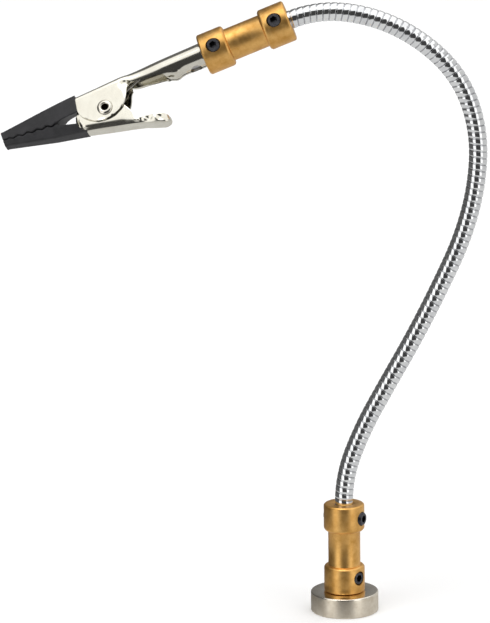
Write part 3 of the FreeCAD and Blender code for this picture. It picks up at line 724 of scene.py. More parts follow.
@dataclass
class Coupler:
    """A turned brass sleeve with two heads, a waist and a tapped hole across each head."""

    diameter: float = 9.0
    length: float = 20.0
    head: float = 6.0
    waist: float = 7.1
    bore: float = 4.06
    rim: float = 0.3
    mouth: float = 0.25
    tap: float = 3.0
    tap_mouth: float = 3.25
    shoulder: float = 0.7
    edge_round: float = 0.1

    def profile(self) -> list[tuple[float, float]]:
        """Draw the half section.

        Returns:
            Corners of (radius, height), clockwise from the bore's lower mouth.
        """
        bore, head, waist = self.bore / 2, self.diameter / 2, self.waist / 2
        inner = head - self.shoulder
        curve = [(inner + self.shoulder * math.cos(a), self.shoulder * (math.sin(a) - 1))
                 for a in (math.radians(18 * i) for i in range(6))]
        lower = [(radius, self.head + drop) for radius, drop in curve]
        upper = [(radius, self.length - self.head - drop) for radius, drop in reversed(curve)]
        return [
            (bore + self.mouth, 0.0), (head - self.rim, 0.0), (head, self.rim), *lower,
            (waist, self.head), (waist, self.length - self.head), *upper,
            (head, self.length - self.rim), (head - self.rim, self.length),
            (bore + self.mouth, self.length), (bore, self.length - self.mouth),
            (bore, self.mouth),
        ]

    def tap_cutter(self, height: float, turn: float) -> bmesh.types.BMesh:
        """Make a bar right across the coupler, flared where it leaves the head.

        Args:
            height: of the hole along the coupler.
            turn: degrees from -Y towards +X.

        Returns:
            The bar's mesh.
        """
        reach, tap, mouth = self.diameter, self.tap / 2, self.tap_mouth / 2
        outside = self.diameter / 2
        half = [(0.0, -reach), (mouth, -reach), (mouth, -outside), (tap, 0.4 - outside),
                (tap, outside - 0.4), (mouth, outside), (mouth, reach), (0.0, reach)]
        bar = lathe(half, steps=48)
        bar.transform(Matrix.Translation((0, 0, height))
                      @ Matrix.Rotation(math.radians(turn), 4, "Z")
                      @ Matrix.Rotation(math.radians(90), 4, "X"))
        return bar

    def make(self, name: str, stand: Matrix, taps: Table, berth: Berth) -> None:
        """Make one coupler.

        Args:
            name: the piece's name.
            stand: its frame, Z along the bore.
            taps: height and turn, in degrees from -Y towards +X, of each tapped hole.
            berth: where the piece ends up.
        """
        shell = lathe(self.profile(), steps=128)
        soften(shell, self.edge_round, segments=2)
        piece = to_object(shell, name)
        for height, turn in taps:
            carve(piece, self.tap_cutter(height, turn))
        settle(piece, by_matrix(stand), berth)


# ------------------------------------------------------------------------------ foot

@dataclass
class Foot:
    """Ring magnet, the countersunk screw through it, and the lower coupler with its screws."""

    magnet_diameter: float = 15.0
    magnet_thickness: float = 4.5
    magnet_hole: float = 4.3
    magnet_sink: float = 8.4
    magnet_edge: float = 0.32
    screw_recess: float = 0.3
    screw_length: float = 12.0
    screw_diameter: float = 3.9
    screw_core: float = 3.24
    screw_pitch: float = 0.7
    screw_socket: float = 2.5
    foot_turn: float = 47.0
    foot_screw_lift: float = 0.5
    foot_screw_lengths: tuple[float, float] = (2.35, 2.35)
    neck_turn: float = 60.0
    neck_screw_lengths: tuple[float, float] = (2.9, 2.5)
    neck_diameter: float = 4.0

    def magnet(self) -> None:
        """Make the ring magnet, rounded at every edge."""
        rim, hole, sink = self.magnet_diameter / 2, self.magnet_hole / 2, self.magnet_sink / 2
        shell = lathe([(sink, 0.0), (rim, 0.0), (rim, self.magnet_thickness),
                       (hole, self.magnet_thickness), (hole, sink - hole)], steps=160)
        outer = [e for e in shell.edges
                 if all(abs(v.co.xy.length - rim) < 1e-3 for v in e.verts)
                 and abs(e.verts[0].co.z - e.verts[1].co.z) < 1e-4]
        bmesh.ops.bevel(shell, geom=outer, offset=self.magnet_edge, offset_type="OFFSET",
                        affect="EDGES", segments=6, profile=0.5, material=-1)
        soften(shell, 0.12, above=40.0, segments=2)
        piece = settle(to_object(shell, "magnet"), by_matrix(Matrix()),
                       Berth("foot", ("foot_magnet",), "magnet_nickel", MAGNET_NICKEL))
        refinish(piece, POLE_NICKEL,
                 lambda at: at.z > self.magnet_thickness - self.magnet_edge * 1.05)

    def screw(self) -> None:
        """Make the countersunk screw that holds the coupler on the magnet."""
        head = self.magnet_sink / 2 - self.screw_recess - 0.05
        crest, core = self.screw_diameter / 2, self.screw_core / 2
        low, top = self.screw_recess, self.screw_recess + self.screw_length
        corners = [(0.0, low), (head - 0.2, low), (head - 0.2, low + 0.2),
                   (crest, low + head - crest)]
        height = self.magnet_thickness + 0.2
        while height + self.screw_pitch < top - 0.4:
            corners += [(core, height), (core, height + 0.1), (crest, height + 0.35),
                        (crest, height + 0.45)]
            height += self.screw_pitch
        corners += [(core, top - 0.3), (core - 0.3, top), (0.0, top)]
        piece = to_object(lathe(corners, steps=64), "foot_countersunk_screw")
        socket = bmesh.new()
        bmesh.ops.create_cone(
            socket, cap_ends=True, segments=6, radius1=self.screw_socket / math.sqrt(3),
            radius2=self.screw_socket / math.sqrt(3), depth=2.8,
            matrix=Matrix.Translation((0, 0, low)))
        carve(piece, socket)
        settle(piece, by_matrix(Matrix()),
               Berth("foot", ("foot_screw",), "foot_screw_steel", SCREW_ZINC))

    def make(self, coupler: Coupler, screws: GrubScrews) -> None:
        """Make the whole foot.

        Args:
            coupler: the coupler's sizes.
            screws: the grub screws' sizes.
        """
        self.magnet()
        self.screw()
        stand = Matrix.Translation((0, 0, self.magnet_thickness))
        low = coupler.head / 2 + self.foot_screw_lift
        high = coupler.length - coupler.head / 2
        coupler.make("lower_coupler", stand, ((low, self.foot_turn), (high, self.neck_turn)),
                     Berth("foot", ("foot_coupler",), "coupler_brass", BRASS))
        screws.make("lower_grub_screws", stand, low, self.foot_turn,
                    self.screw_diameter / 2, self.foot_screw_lengths,
                    Berth("foot", ("foot_grub_screws",), "grub_black_steel", GRUB_OXIDE))
        screws.make("neck_foot_grub_screws", stand, high, self.neck_turn,
                    self.neck_diameter / 2, self.neck_screw_lengths,
                    Berth("foot", ("neck_grub_screws",), "grub_black_steel", GRUB_OXIDE))


# ------------------------------------------------------------------------------ gooseneck

class Wire(Enum):
    """The two wires that are wound together into the gooseneck."""

    FLAT = "flat"
    ROUND = "round"


@dataclass
class Gooseneck:
    """Two interlocked wire helices, made straight and carried onto the bent line."""

    line: NeckLine
    pitch: float = 1.4
    radius: float = 2.0
    stub: float = 7.6
    facets: int = 40
    round_radius: float = 0.44
    round_centre: float = 1.46

    def wire_section(self, wire: Wire) -> list[tuple[float, float]]:
        """Draw a wire's cross-section.

        Args:
            wire: which of the two.

        Returns:
            Corners of (radius, height), height from the turn's own line.
        """
        if wire is Wire.ROUND:
            return [(self.round_centre + self.round_radius * math.cos(a),
                     self.pitch / 2 + self.round_radius * math.sin(a))
                    for a in (2 * math.pi * i / 10 for i in range(10))]
        top = self.radius
        return [(1.55, -0.16), (top - 0.14, -0.55), (top - 0.03, -0.53), (top - 0.004, -0.44),
                (top, 0.0), (top - 0.004, 0.44), (top - 0.03, 0.53), (top - 0.14, 0.55),
                (1.55, 0.16)]

    def helix(self, wire: Wire, first: int, last: int) -> bmesh.types.BMesh:
        """Wind a length of one wire about Z.

        Args:
            wire: which of the two.
            first: where it starts, in facets along the helix.
            last: where it ends, in facets along the helix.

        Returns:
            The length's mesh, closed at both ends.
        """
        coil = bmesh.new()
        points = self.wire_section(wire)
        verts = [coil.verts.new((r, 0.0, z)) for r, z in points]
        cap = coil.faces.new(verts)
        step = 2 * math.pi / self.facets
        advance = self.pitch / self.facets
        start = Matrix.Translation((0, 0, first * advance)) @ Matrix.Rotation(
            -first * step, 4, "Z")
        bmesh.ops.transform(coil, matrix=start, verts=coil.verts)
        bmesh.ops.spin(coil, geom=[cap] + cap.edges[:] + verts, cent=(0, 0, 0), axis=(0, 0, 1),
                       angle=-(last - first) * step, steps=last - first,
                       dvec=(0, 0, advance), use_merge=False)
        bmesh.ops.remove_doubles(coil, verts=coil.verts, dist=1e-4)
        bmesh.ops.recalc_face_normals(coil, faces=coil.faces)
        return coil

    def make(self) -> None:
        """Make each wire in lengths that run from mid-span to mid-span."""
        carry = self.line.carrier()
        spans = len(self.line.turns)
        middles = [self.line.span * (i + 0.5) for i in range(spans)]
        stops = [-self.stub] + middles + [self.line.length() + self.stub]
        counts = [round(stop / self.pitch * self.facets) for stop in stops]
        for wire, slot, finish in ((Wire.FLAT, "neck_chrome", NECK_CHROME),
                                   (Wire.ROUND, "neck_wire_steel", NECK_WIRE)):
            for number in range(spans + 1):
                node = f"neck_{wire.value}_wire_{max(number, 1):02d}"
                piece = to_object(self.helix(wire, counts[number], counts[number + 1]),
                                  f"{wire.value}_wire_length_{number:02d}")
                bent = 0 < number < spans
                body = "" if bent else ("neck_01" if number == 0 else f"neck_{spans:02d}")
                settle(piece, carry, Berth(body, (node,), slot, finish, smooth_below=50.0))
                if bent:
                    start, _ = self.line.at(stops[number])
                    end, _ = self.line.at(stops[number + 1])
                    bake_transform(piece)


# ------------------------------------------------------------------------------ clip

@dataclass
class Clip:
    """The pressed-steel clip: u runs forward from the coupler's face, v up, w to the near side."""

    line: NeckLine
    coupler_length: float = 20.0
    roll: float = 35.0
    sheet: float = 0.5
    pivot_u: float = 23.5
    pivot_v: float = -4.0
    pivot_bore: float = 2.48
    tip: float = 46.4
    sleeve_start: float = 29.2
    lower_sleeve_start: float = 30.3
    sleeve_end: float = 46.85
    sleeve_wall: float = 0.35
    sleeve_gap: float = 0.03
    tooth_pitch: float = 2.2
    tooth_depth: float = 0.5
    first_tooth: float = 45.6
    last_tooth: float = 34.4
    tooth_cover: float = 0.62
    cut_edge: float = 0.09
    sleeved_step: float = 0.55
    parting: float = 0.07
    handle_end: float = 17.3
    wire_hole_diameter: float = 2.6
    wire_hole_u: float = 2.4
    wire_hole_v: float = -3.2
    rivet_half: float = 2.82
    spring_turns: float = 3.5
    spring_width: float = 1.8
    # (u, v) where the legs end, against the handle and against the thumb tab
    spring_leg_ends: Table = ((14.7, 1.0), (19.2, -8.9))
    stud_diameter: float = 4.0
    stud_length: float = 16.0
    stud_chamfer: float = 0.3
    # behind the teeth the sleeves part; on the far side the upper one is cut back further
    near_mouth: Table = ((29.0, -2.75), (31.5, -2.8), (34.0, -2.95), (35.0, -3.3))
    far_mouth: Table = ((29.0, -0.3), (31.5, -0.6), (34.0, -1.9), (35.0, -3.3))

    half_width: Table = ((0.0, 2.76), (9.0, 2.56), (14.5, 2.34), (16.2, 2.4), (17.6, 2.66),
                         (19.0, 2.8), (29.2, 2.8), (46.4, 1.15))
    top: Table = ((0.0, 2.76), (9.0, 2.56), (14.0, 2.3), (17.0, 1.95), (20.0, 1.62),
                  (24.0, 1.36), (29.2, 1.1), (46.4, 0.3))
    corner: Table = ((0.0, 2.6), (9.0, 2.42), (14.0, 2.15), (16.5, 1.7), (18.5, 1.2),
                     (21.0, 0.95), (29.2, 0.8), (46.4, 0.35))
    edge: Table = ((9.0, -1.9), (9.4, -1.5), (11.2, -1.2), (13.5, -0.9), (15.9, -0.7),
                   (17.3, -0.85), (17.75, -1.5), (18.2, -2.7), (18.8, -3.8), (19.4, -4.6),
                   (20.9, -5.7), (22.6, -6.35), (24.4, -6.55), (26.0, -6.25), (27.4, -5.35),
                   (28.4, -4.45), (29.0, -3.7), (29.3, -2.9))
    curl: Table = ((8.3, 86.0), (8.9, 62.0), (9.4, 38.0), (11.2, 30.0), (13.5, 23.0),
                   (15.9, 17.0), (17.3, 0.0))

    def frame(self) -> Matrix:
        """Find the clip's own frame.

        Returns:
            The frame's matrix: X is u, Y is w and Z is v.
        """
        point, heading = self.line.frames()[-1]
        forward = ahead(heading)
        level = Vector((0, 1, 0)).cross(forward)
        roll = math.radians(self.roll)
        up = level * math.cos(roll) + Vector((0, 1, 0)) * math.sin(roll)
        turn = Matrix((forward, up.cross(forward), up)).transposed().to_4x4()
        return Matrix.Translation(point + forward * self.coupler_length) @ turn

    def wave(self, u: float) -> float:
        """Read the teeth's rise and fall about the line where the jaws meet.

        Args:
            u: position along the clip.

        Returns:
            Height above that line, 0 outside the teeth.
        """
        if not self.last_tooth <= u <= self.first_tooth:
            return 0.0
        share = ((self.first_tooth - u) / self.tooth_pitch) % 1.0
        return self.tooth_depth * (abs(2 * share - 1) - 0.5)

    def meeting(self, u: float) -> float:
        """Height of the line where the sleeved jaws meet."""
        return -3.25 + (u - 34.0) * 0.145

    def sleeved(self, first: float) -> list[float]:
        """List the positions of a jaw's sections under its sleeve.

        Args:
            first: the first position.

        Returns:
            Positions from there to the tip.
        """
        places, u = [], first
        while u < self.tip - 0.3:
            places.append(u)
            u += self.sleeved_step
        return places + [self.tip]

    def pressed(self, name: str, stations: Sequence[float],
                section: Callable[[float], Section], inside: Callable[[Vector], Vector]
                ) -> bpy.types.Object:
        """Press a jaw from sheet and cut its rivet holes.

        Args:
            name: the object's name.
            stations: positions along the clip where the section is given.
            section: the outer section at a position.
            inside: for a face's centre, a point on the hollow side of it.

        Returns:
            The jaw, in the clip's frame and in millimetres.
        """
        skin = formed_sheet([section(u) for u in sorted(set(stations))])
        thicken(skin, self.sheet, inside)
        soften(skin, self.cut_edge, above=60.0, segments=2)
        piece = to_object(skin, name)
        carve(piece, self.rivet_cutter())
        return piece

    # ---- upper jaw

    def upper_half(self, u: float, near: bool) -> list[tuple[float, float]]:
        """Draw half of the upper jaw's section.

        Args:
            u: position along the clip.
            near: the near half, or else the far one.

        Returns:
            Points of (w, v) from the top's middle to the lower edge, w positive.
        """
        wide, high = follow(self.half_width, u), follow(self.top, u)
        corner = min(follow(self.corner, u), wide * 0.94)
        if u > self.sleeve_start + 0.2:
            low = max(self.meeting(u) + self.tooth_cover + self.wave(u),
                      follow(self.near_mouth if near else self.far_mouth, u) + 0.5)
        else:
            low = follow(self.edge, u)
        curl = math.radians(follow(self.curl, u)) if u < self.handle_end else 0.0
        points = [((wide - corner) * i / 3, high) for i in range(3)]
        for i in range(9):
            a = math.pi / 2 * i / 8
            points.append((wide - corner + corner * math.sin(a),
                           high - corner + corner * math.cos(a)))
        # below the corner the wall drops straight, or curls under into the barrel
        drop = max(high - corner - low, 0.02) if curl == 0.0 else 0.02
        under = wide * curl
        path = drop + under
        for i in range(1, 15):
            run = path * i / 14
            if run <= drop:
                points.append((wide, high - corner - run))
            else:
                a = (run - drop) / wide
                points.append((wide * math.cos(a), high - corner - drop - wide * math.sin(a)))
        return points

    def upper_section(self, u: float) -> Section:
        """The upper jaw's whole section, far edge to near edge."""
        near, far = ([self.dent(u, w, v) for w, v in self.upper_half(u, side)]
                     for side in (True, False))
        row = [(-w, v) for w, v in reversed(far[1:])] + near
        return [Vector((u, w, v)) for w, v in row]

    def dent(self, u: float, w: float, v: float) -> tuple[float, float]:
        """Press the small dents behind and below the rivet, and swell the barrel's underside.

        Args:
            u: position along the clip.
            w: half width there.
            v: height there.

        Returns:
            The moved w and v.
        """
        press = 0.22 * math.exp(-((u - 17.9) / 0.8) ** 2 - ((v + 0.3) / 0.7) ** 2)
        press += 0.12 * math.exp(-((u - 24.3) / 1.0) ** 2 - ((v + 6.0) / 0.5) ** 2)
        swell = 0.55 * math.exp(-((u - 6.9) / 1.1) ** 2) if v < -1.2 else 0.0
        return w - press, v - swell

    def upper_jaw(self) -> None:
        """Form the fixed jaw from one sheet: barrel, handle, ears and toothed front."""
        stations = [i * 0.5 for i in range(17)] + [8.3, 8.6, 8.9, 9.15, 9.4, 9.8]
        stations += [10.4 + i * 0.6 for i in range(11)]
        stations += [16.7 + i * 0.15 for i in range(20)]
        stations += [19.9 + i * 0.4 for i in range(22)]
        stations += [28.6, 28.8, 28.95, 29.1, 29.2, 29.3, 29.45, 29.8]
        piece = self.pressed("upper_jaw_steel", stations + self.sleeved(30.3),
                             self.upper_section,
                             lambda p: Vector((p.x, 0.0, min(p.z, 0.0) - 0.01)))
        hole, radius = bmesh.new(), self.wire_hole_diameter / 2
        bmesh.ops.create_cone(
            hole, cap_ends=True, segments=48, radius1=radius, radius2=radius, depth=4.0,
            matrix=Matrix.Translation((self.wire_hole_u, 0, self.wire_hole_v)))
        carve(piece, hole)
        settle(piece, by_matrix(self.frame()),
               Berth("clip", ("upper_jaw",), "jaw_nickel", JAW_NICKEL, smooth_below=40.0))

    def rivet_cutter(self) -> bmesh.types.BMesh:
        """Make a bar across the clip where the rivet goes.

        Returns:
            The bar's mesh.
        """
        bar = bmesh.new()
        bmesh.ops.create_cone(
            bar, cap_ends=True, segments=48, radius1=self.pivot_bore / 2,
            radius2=self.pivot_bore / 2, depth=12.0,
            matrix=Matrix.Translation((self.pivot_u, 0, self.pivot_v))
            @ Matrix.Rotation(math.radians(90), 4, "X"))
        return bar

    # ---- lower jaw

    back: Table = ((11.1, -11.75), (11.6, -12.05), (12.6, -12.0), (14.0, -11.5),
                   (15.5, -10.95), (17.0, -10.35), (23.5, -8.55), (30.0, -6.82),
                   (46.4, -2.46))
    back_half: Table = ((11.1, 0.25), (11.3, 0.8), (11.8, 1.35), (12.6, 1.75), (14.0, 1.9),
                        (17.0, 1.72), (23.5, 1.72), (29.2, 1.52), (46.4, 0.95))
    cheek_half: Table = ((11.1, 0.3), (11.3, 0.9), (11.8, 1.5), (12.6, 1.9), (14.0, 2.05),
                         (16.5, 1.95), (18.5, 2.15), (29.2, 2.2), (46.4, 1.15))
    cheek_top: Table = ((11.1, -11.1), (11.4, -10.6), (11.9, -10.2), (13.2, -9.75),
                        (15.0, -9.3), (16.4, -9.05), (17.3, -9.0), (17.55, -8.9),
                        (17.75, -8.3), (18.1, -7.5), (18.9, -5.9), (19.5, -4.8),
                        (20.6, -2.6), (21.4, -2.1), (26.0, -2.0), (28.5, -2.1),
                        (29.6, -2.4), (29.9, -2.9), (30.3, -5.4))

    def lower_half(self, u: float) -> list[tuple[float, float]]:
        """Draw half of the lower jaw's section.

        Args:
            u: position along the clip.

        Returns:
            Points of (w, v) from the back's middle to the upper edge, w positive.
        """
        low = follow(self.back, u)
        base, wide = follow(self.back_half, u), follow(self.cheek_half, u)
        if u > self.lower_sleeve_start:
            high = self.meeting(u) - self.tooth_cover + self.wave(u)
            high = min(high, -5.4 + (u - 30.3) * 0.35)
        else:
            high = follow(self.cheek_top, u)
        corner = min(0.45, 0.45 * base, 0.45 * (high - low))
        points = [((base - corner) * i / 4, low) for i in range(4)]
        lean = math.atan2(wide - base, high - low)
        sweep = math.pi / 2 - lean
        for i in range(6):
            a = sweep * i / 5
            points.append((base - corner + corner * math.sin(a),
                           low + corner - corner * math.cos(a)))
        w0, v0 = points[-1]
        # the bare cheek stands upright above its lowest part, the sleeved one leans evenly
        upright = follow(((17.4, 1.0), (18.6, 9.0), (28.6, 9.0), (29.9, 1.0)), u)
        # the thumb tab's low flanges are waved by the ribs pressed across it
        for i in range(1, 13):
            t = i / 12
            rib = 0.0
            if u < 17.2:
                fade = min(1.0, (17.2 - u) / 0.6) * min(1.0, max(0.0, (u - 11.6) / 0.8))
                rib = 0.12 * fade * math.sin(2 * math.pi * (u - 11.4) / 2.3) * math.sin(
                    math.pi * min(1.0, t * 1.1))
            points.append((w0 + (wide - w0) * min(1.0, upright * t) + rib,
                           v0 + (high - v0) * t))
        return points

    def lower_section(self, u: float) -> Section:
        """The lower jaw's whole section, far edge to near edge."""
        half = self.lower_half(u)
        row = [(-w, v) for w, v in reversed(half[1:])] + half
        return [Vector((u, w, v)) for w, v in row]

    def lower_jaw(self) -> None:
        """Form the moving jaw: thumb tab, ears inside the upper jaw's, toothed front."""
        stations = [11.1, 11.2, 11.35, 11.55, 11.8] + [12.1 + i * 0.25 for i in range(20)]
        stations += [17.1 + i * 0.12 for i in range(12)]
        stations += [18.6 + i * 0.3 for i in range(39)] + [30.25, 30.35]
        piece = self.pressed("lower_jaw_steel", stations + self.sleeved(30.6),
                             self.lower_section, lambda p: Vector((p.x, 0.0, p.z + 3.0)))
        settle(piece, by_matrix(self.frame()),
               Berth("moving_jaw", ("lower_jaw",), "jaw_nickel", JAW_NICKEL, smooth_below=40.0))

    # ---- sleeves

    def sleeve_loop(self, low: float, high: float, base: float, wide: float,
                    foot: float, crown: float, sag: float) -> list[tuple[float, float]]:
        """A closed sleeve section as (w, v) from the bottom's middle round by the near side.

        Args:
            low: height of the bottom.
            high: height of the top.
            base: half width at the bottom.
            wide: half width at the top.
            foot: radius of the bottom corners.
            crown: radius of the top corners.
            sag: how far the bottom bows in (positive is upwards) between the corners.

        Returns:
            The loop's points, first point repeated at the end.
        """
        half = []
        for i in range(7):
            w = (base - foot) * i / 6
            half.append((w, low + sag * math.cos(math.pi / 2 * i / 6) ** 2))
        half += [(base - foot + foot * math.sin(a), low + foot - foot * math.cos(a))
                 for a in (math.pi / 2 * i / 5 for i in range(1, 6))]
        lower, upper = low + foot, high - crown
        half += [(base + (wide - base) * t, lower + (upper - lower) * t)
                 for t in (i / 8 for i in range(1, 8))]
        half += [(wide - crown + crown * math.cos(a), high - crown + crown * math.sin(a))
                 for a in (math.pi / 2 * i / 6 for i in range(7))]
        half += [((wide - crown) * (1 - i / 3), high) for i in range(1, 4)]
        return half + [(-w, v) for w, v in reversed(half[:-1])]

    def upper_sleeve_section(self, u: float, slant: float) -> Section:
        """Draw the upper sleeve's section.

        Args:
            u: position along the clip, at the section's top.
            slant: how far forward the bottom stands, where the rear cut slants.

        Returns:
            The section's points, first point repeated at the end.
        """
        grow = self.sleeve_wall + self.sleeve_gap
        wide = follow(self.half_width, u) + grow
        high = follow(self.top, u) + grow
        low = self.meeting(u) + self.parting + self.wave(u)
        lift = 0.0
        if u < 35.0:
            low = max(low, follow(self.near_mouth, u))
            lift = max(0.0, follow(self.far_mouth, u) - low)
        loop = self.sleeve_loop(low, high, wide, wide, 0.25, 0.75, 0.12)
        # the underside climbs towards the far cheek where the sleeve is cut back
        return [Vector((u + slant * (high - v) / (high - low), w,
                        v + lift * (wide - w) / (2 * wide) * (high - v) / (high - low)))
                for w, v in loop]

    def lower_sleeve_section(self, u: float, slant: float) -> Section:
        """Draw the lower sleeve's section.

        Args:
            u: position along the clip, at the section's top.
            slant: how far back the bottom stands, where the rear cut runs back.

        Returns:
            The section's points, first point repeated at the end.
        """
        grow = self.sleeve_wall + self.sleeve_gap
        wide, base = follow(self.cheek_half, u) + grow, follow(self.back_half, u) + grow
        low = follow(self.back, u) - grow
        high = self.meeting(u) - self.parting + self.wave(u)
        if u < 34.6:
            high = min(high, follow(((30.0, -5.0), (31.9, -4.35), (33.9, -3.65),
                                     (34.6, -3.2)), u))
        loop = self.sleeve_loop(low, high, base, wide, 0.5, 0.25, 0.0)
        return [Vector((u - slant * max(0.0, (high - v) / (high - low)) ** 2.5, w, v))
                for w, v in loop]

    def sleeves(self) -> None:
        """Make both shrunk sleeves as closed tubes with open ends."""
        for name, node, body, start, slope, section in (
            ("upper_sleeve", "upper_jaw_sleeve", "clip", 28.9, 0.6, self.upper_sleeve_section),
            ("lower_sleeve", "lower_jaw_sleeve", "moving_jaw", 30.4, 1.45,
             self.lower_sleeve_section),
        ):
            count = int((self.sleeve_end - start) / 0.22)
            rows = []
            for i in range(count + 1):
                share = i / count
                u = start + (self.sleeve_end - start) * share
                rows.append(section(u, slope * max(0.0, 1 - share * 3)))
            skin = formed_sheet(rows, closed=True)
            middle = -1.0 if "upper" in name else -5.0
            slide = 0.06 if "upper" in name else 0.12
            thicken(skin, self.sleeve_wall,
                    lambda p: Vector((p.x, 0.0, middle + (p.x - 34) * slide)))
            soften(skin, 0.08, above=60.0, segments=2)
            settle(to_object(skin, name), by_matrix(self.frame()),
                   Berth(body, (node,), "sleeve_grey", SLEEVING, smooth_below=50.0))

    # ---- rivet, spring and stud

    def rivet(self) -> None:
        """Turn the tubular rivet, with a rolled head outside each cheek."""
        half = self.rivet_half
        bore, shank, head = 0.72, 1.2, 1.7
        corners = [(bore, -half - 0.2), (bore + 0.14, -half - 0.38), (bore + 0.42, -half - 0.42),
                   (head - 0.14, -half - 0.3), (head, -half - 0.12), (head - 0.04, -half),
                   (shank, -half), (shank, half), (head - 0.04, half), (head, half + 0.12),
                   (head - 0.14, half + 0.3), (bore + 0.42, half + 0.42),
                   (bore + 0.14, half + 0.38), (bore, half + 0.2)]
        shell = lathe(corners, steps=64)
        shell.transform(Matrix.Translation((self.pivot_u, 0, self.pivot_v))
                        @ Matrix.Rotation(math.radians(90), 4, "X"))
        piece = settle(to_object(shell, "rivet"), by_matrix(self.frame()),
                       Berth("clip", ("pivot_rivet",), "rivet_nickel", RIVET_NICKEL,
                             smooth_below=60.0))
        pivot = Vector((self.pivot_u, 0.0, self.pivot_v))
        # faces inside the bore take the near-black painted shade
        refinish(piece, RIVET_BORE_SHADE, lambda at: (at - pivot).xz.length < bore + 0.02)

    def spring(self) -> None:
        """Wind the torsion spring round the rivet, with a leg to the handle and to the tab."""
        wire, middle, turns, facets = 0.3, 1.62, self.spring_turns, 36
        coil = bmesh.new()
        bmesh.ops.create_circle(coil, cap_ends=True, segments=12, radius=wire,
                                matrix=Matrix.Translation((0, 0, middle))
                                @ Matrix.Rotation(math.radians(90), 4, "Y"))
        cap = coil.faces[:]
        count = int(turns * facets)
        width = self.spring_width
        bmesh.ops.translate(coil, verts=coil.verts, vec=(0, -width / 2, 0))
        ends = [cap[0]]
        made = bmesh.ops.spin(coil, geom=cap + coil.edges[:] + coil.verts[:], cent=(0, 0, 0),
                              axis=(0, 1, 0), angle=2 * math.pi * turns, steps=count,
                              dvec=(0, width / count, 0), use_merge=False,
                              use_duplicate=False)
        ends.append(next(g for g in made["geom_last"] if isinstance(g, bmesh.types.BMFace)))
        (handle_u, handle_v), (tab_u, tab_v) = self.spring_leg_ends
        reach = (Vector((handle_u - self.pivot_u, -width / 2, handle_v - self.pivot_v)),
                 Vector((tab_u - self.pivot_u, width / 2, tab_v - self.pivot_v)))
        for face, goal in zip(ends, reach):
            run = bmesh.ops.extrude_face_region(coil, geom=[face])
            verts = [g for g in run["geom"] if isinstance(g, bmesh.types.BMVert)]
            centre = sum((v.co for v in verts), Vector()) / len(verts)
            bmesh.ops.translate(coil, verts=verts, vec=goal - centre)
        bmesh.ops.remove_doubles(coil, verts=coil.verts, dist=1e-4)
        bmesh.ops.recalc_face_normals(coil, faces=coil.faces)
        coil.transform(Matrix.Translation((self.pivot_u, 0, self.pivot_v)))
        settle(to_object(coil, "torsion_spring"), by_matrix(self.frame()),
               Berth("clip", ("jaw_spring",), "spring_steel", SPRING_WIRE, smooth_below=50.0))

    def stud(self) -> None:
        """Turn the steel pin from the coupler's bore into the barrel."""
        half, radius, edge = self.stud_length / 2, self.stud_diameter / 2, self.stud_chamfer
        shell = lathe([(0.0, -half), (radius - edge, -half), (radius, edge - half),
                       (radius, half - edge), (radius - edge, half), (0.0, half)], steps=48)
        quarter = Matrix.Rotation(math.radians(90), 4, "Y")
        settle(to_object(shell, "clip_pin"), by_matrix(self.frame() @ quarter),
               Berth("clip", ("clip_stud",), "stud_steel", STUD_STEEL))

    def make(self) -> None:
        """Make the whole clip."""
        self.upper_jaw()
        self.lower_jaw()
        self.rivet()
        self.spring()
        self.sleeves()
        self.stud()


@dataclass
class ClipJoint:
    """The upper coupler with both its pairs of grub screws."""

    line: NeckLine
    turn: float = 25.0
    held: float = 2.0
    screw_lengths: tuple[float, float] = (2.55, 2.55)

    def make(self, coupler: Coupler, screws: GrubScrews) -> None:
        """Make the coupler and its screws.

        Args:
            coupler: the coupler's sizes.
            screws: the grub screws' sizes.
        """
        point, heading = self.line.frames()[-1]
        stand = stand_on(point, heading)
        body = f"neck_{len(self.line.turns):02d}"
        near, far = coupler.head / 2, coupler.length - coupler.head / 2
        coupler.make("upper_coupler", stand, ((near, self.turn), (far, self.turn)),
                     Berth(body, ("clip_coupler",), "coupler_brass", BRASS))
        screws.make("neck_end_screws", stand, near, self.turn, self.held, self.screw_lengths,
                    Berth(body, ("neck_end_grub_screws",), "grub_black_steel", GRUB_OXIDE))
        screws.make("clip_end_screws", stand, far, self.turn, self.held, self.screw_lengths,
                    Berth(body, ("clip_grub_screws",), "grub_black_steel", GRUB_OXIDE))


# ------------------------------------------------------------------------------ studio

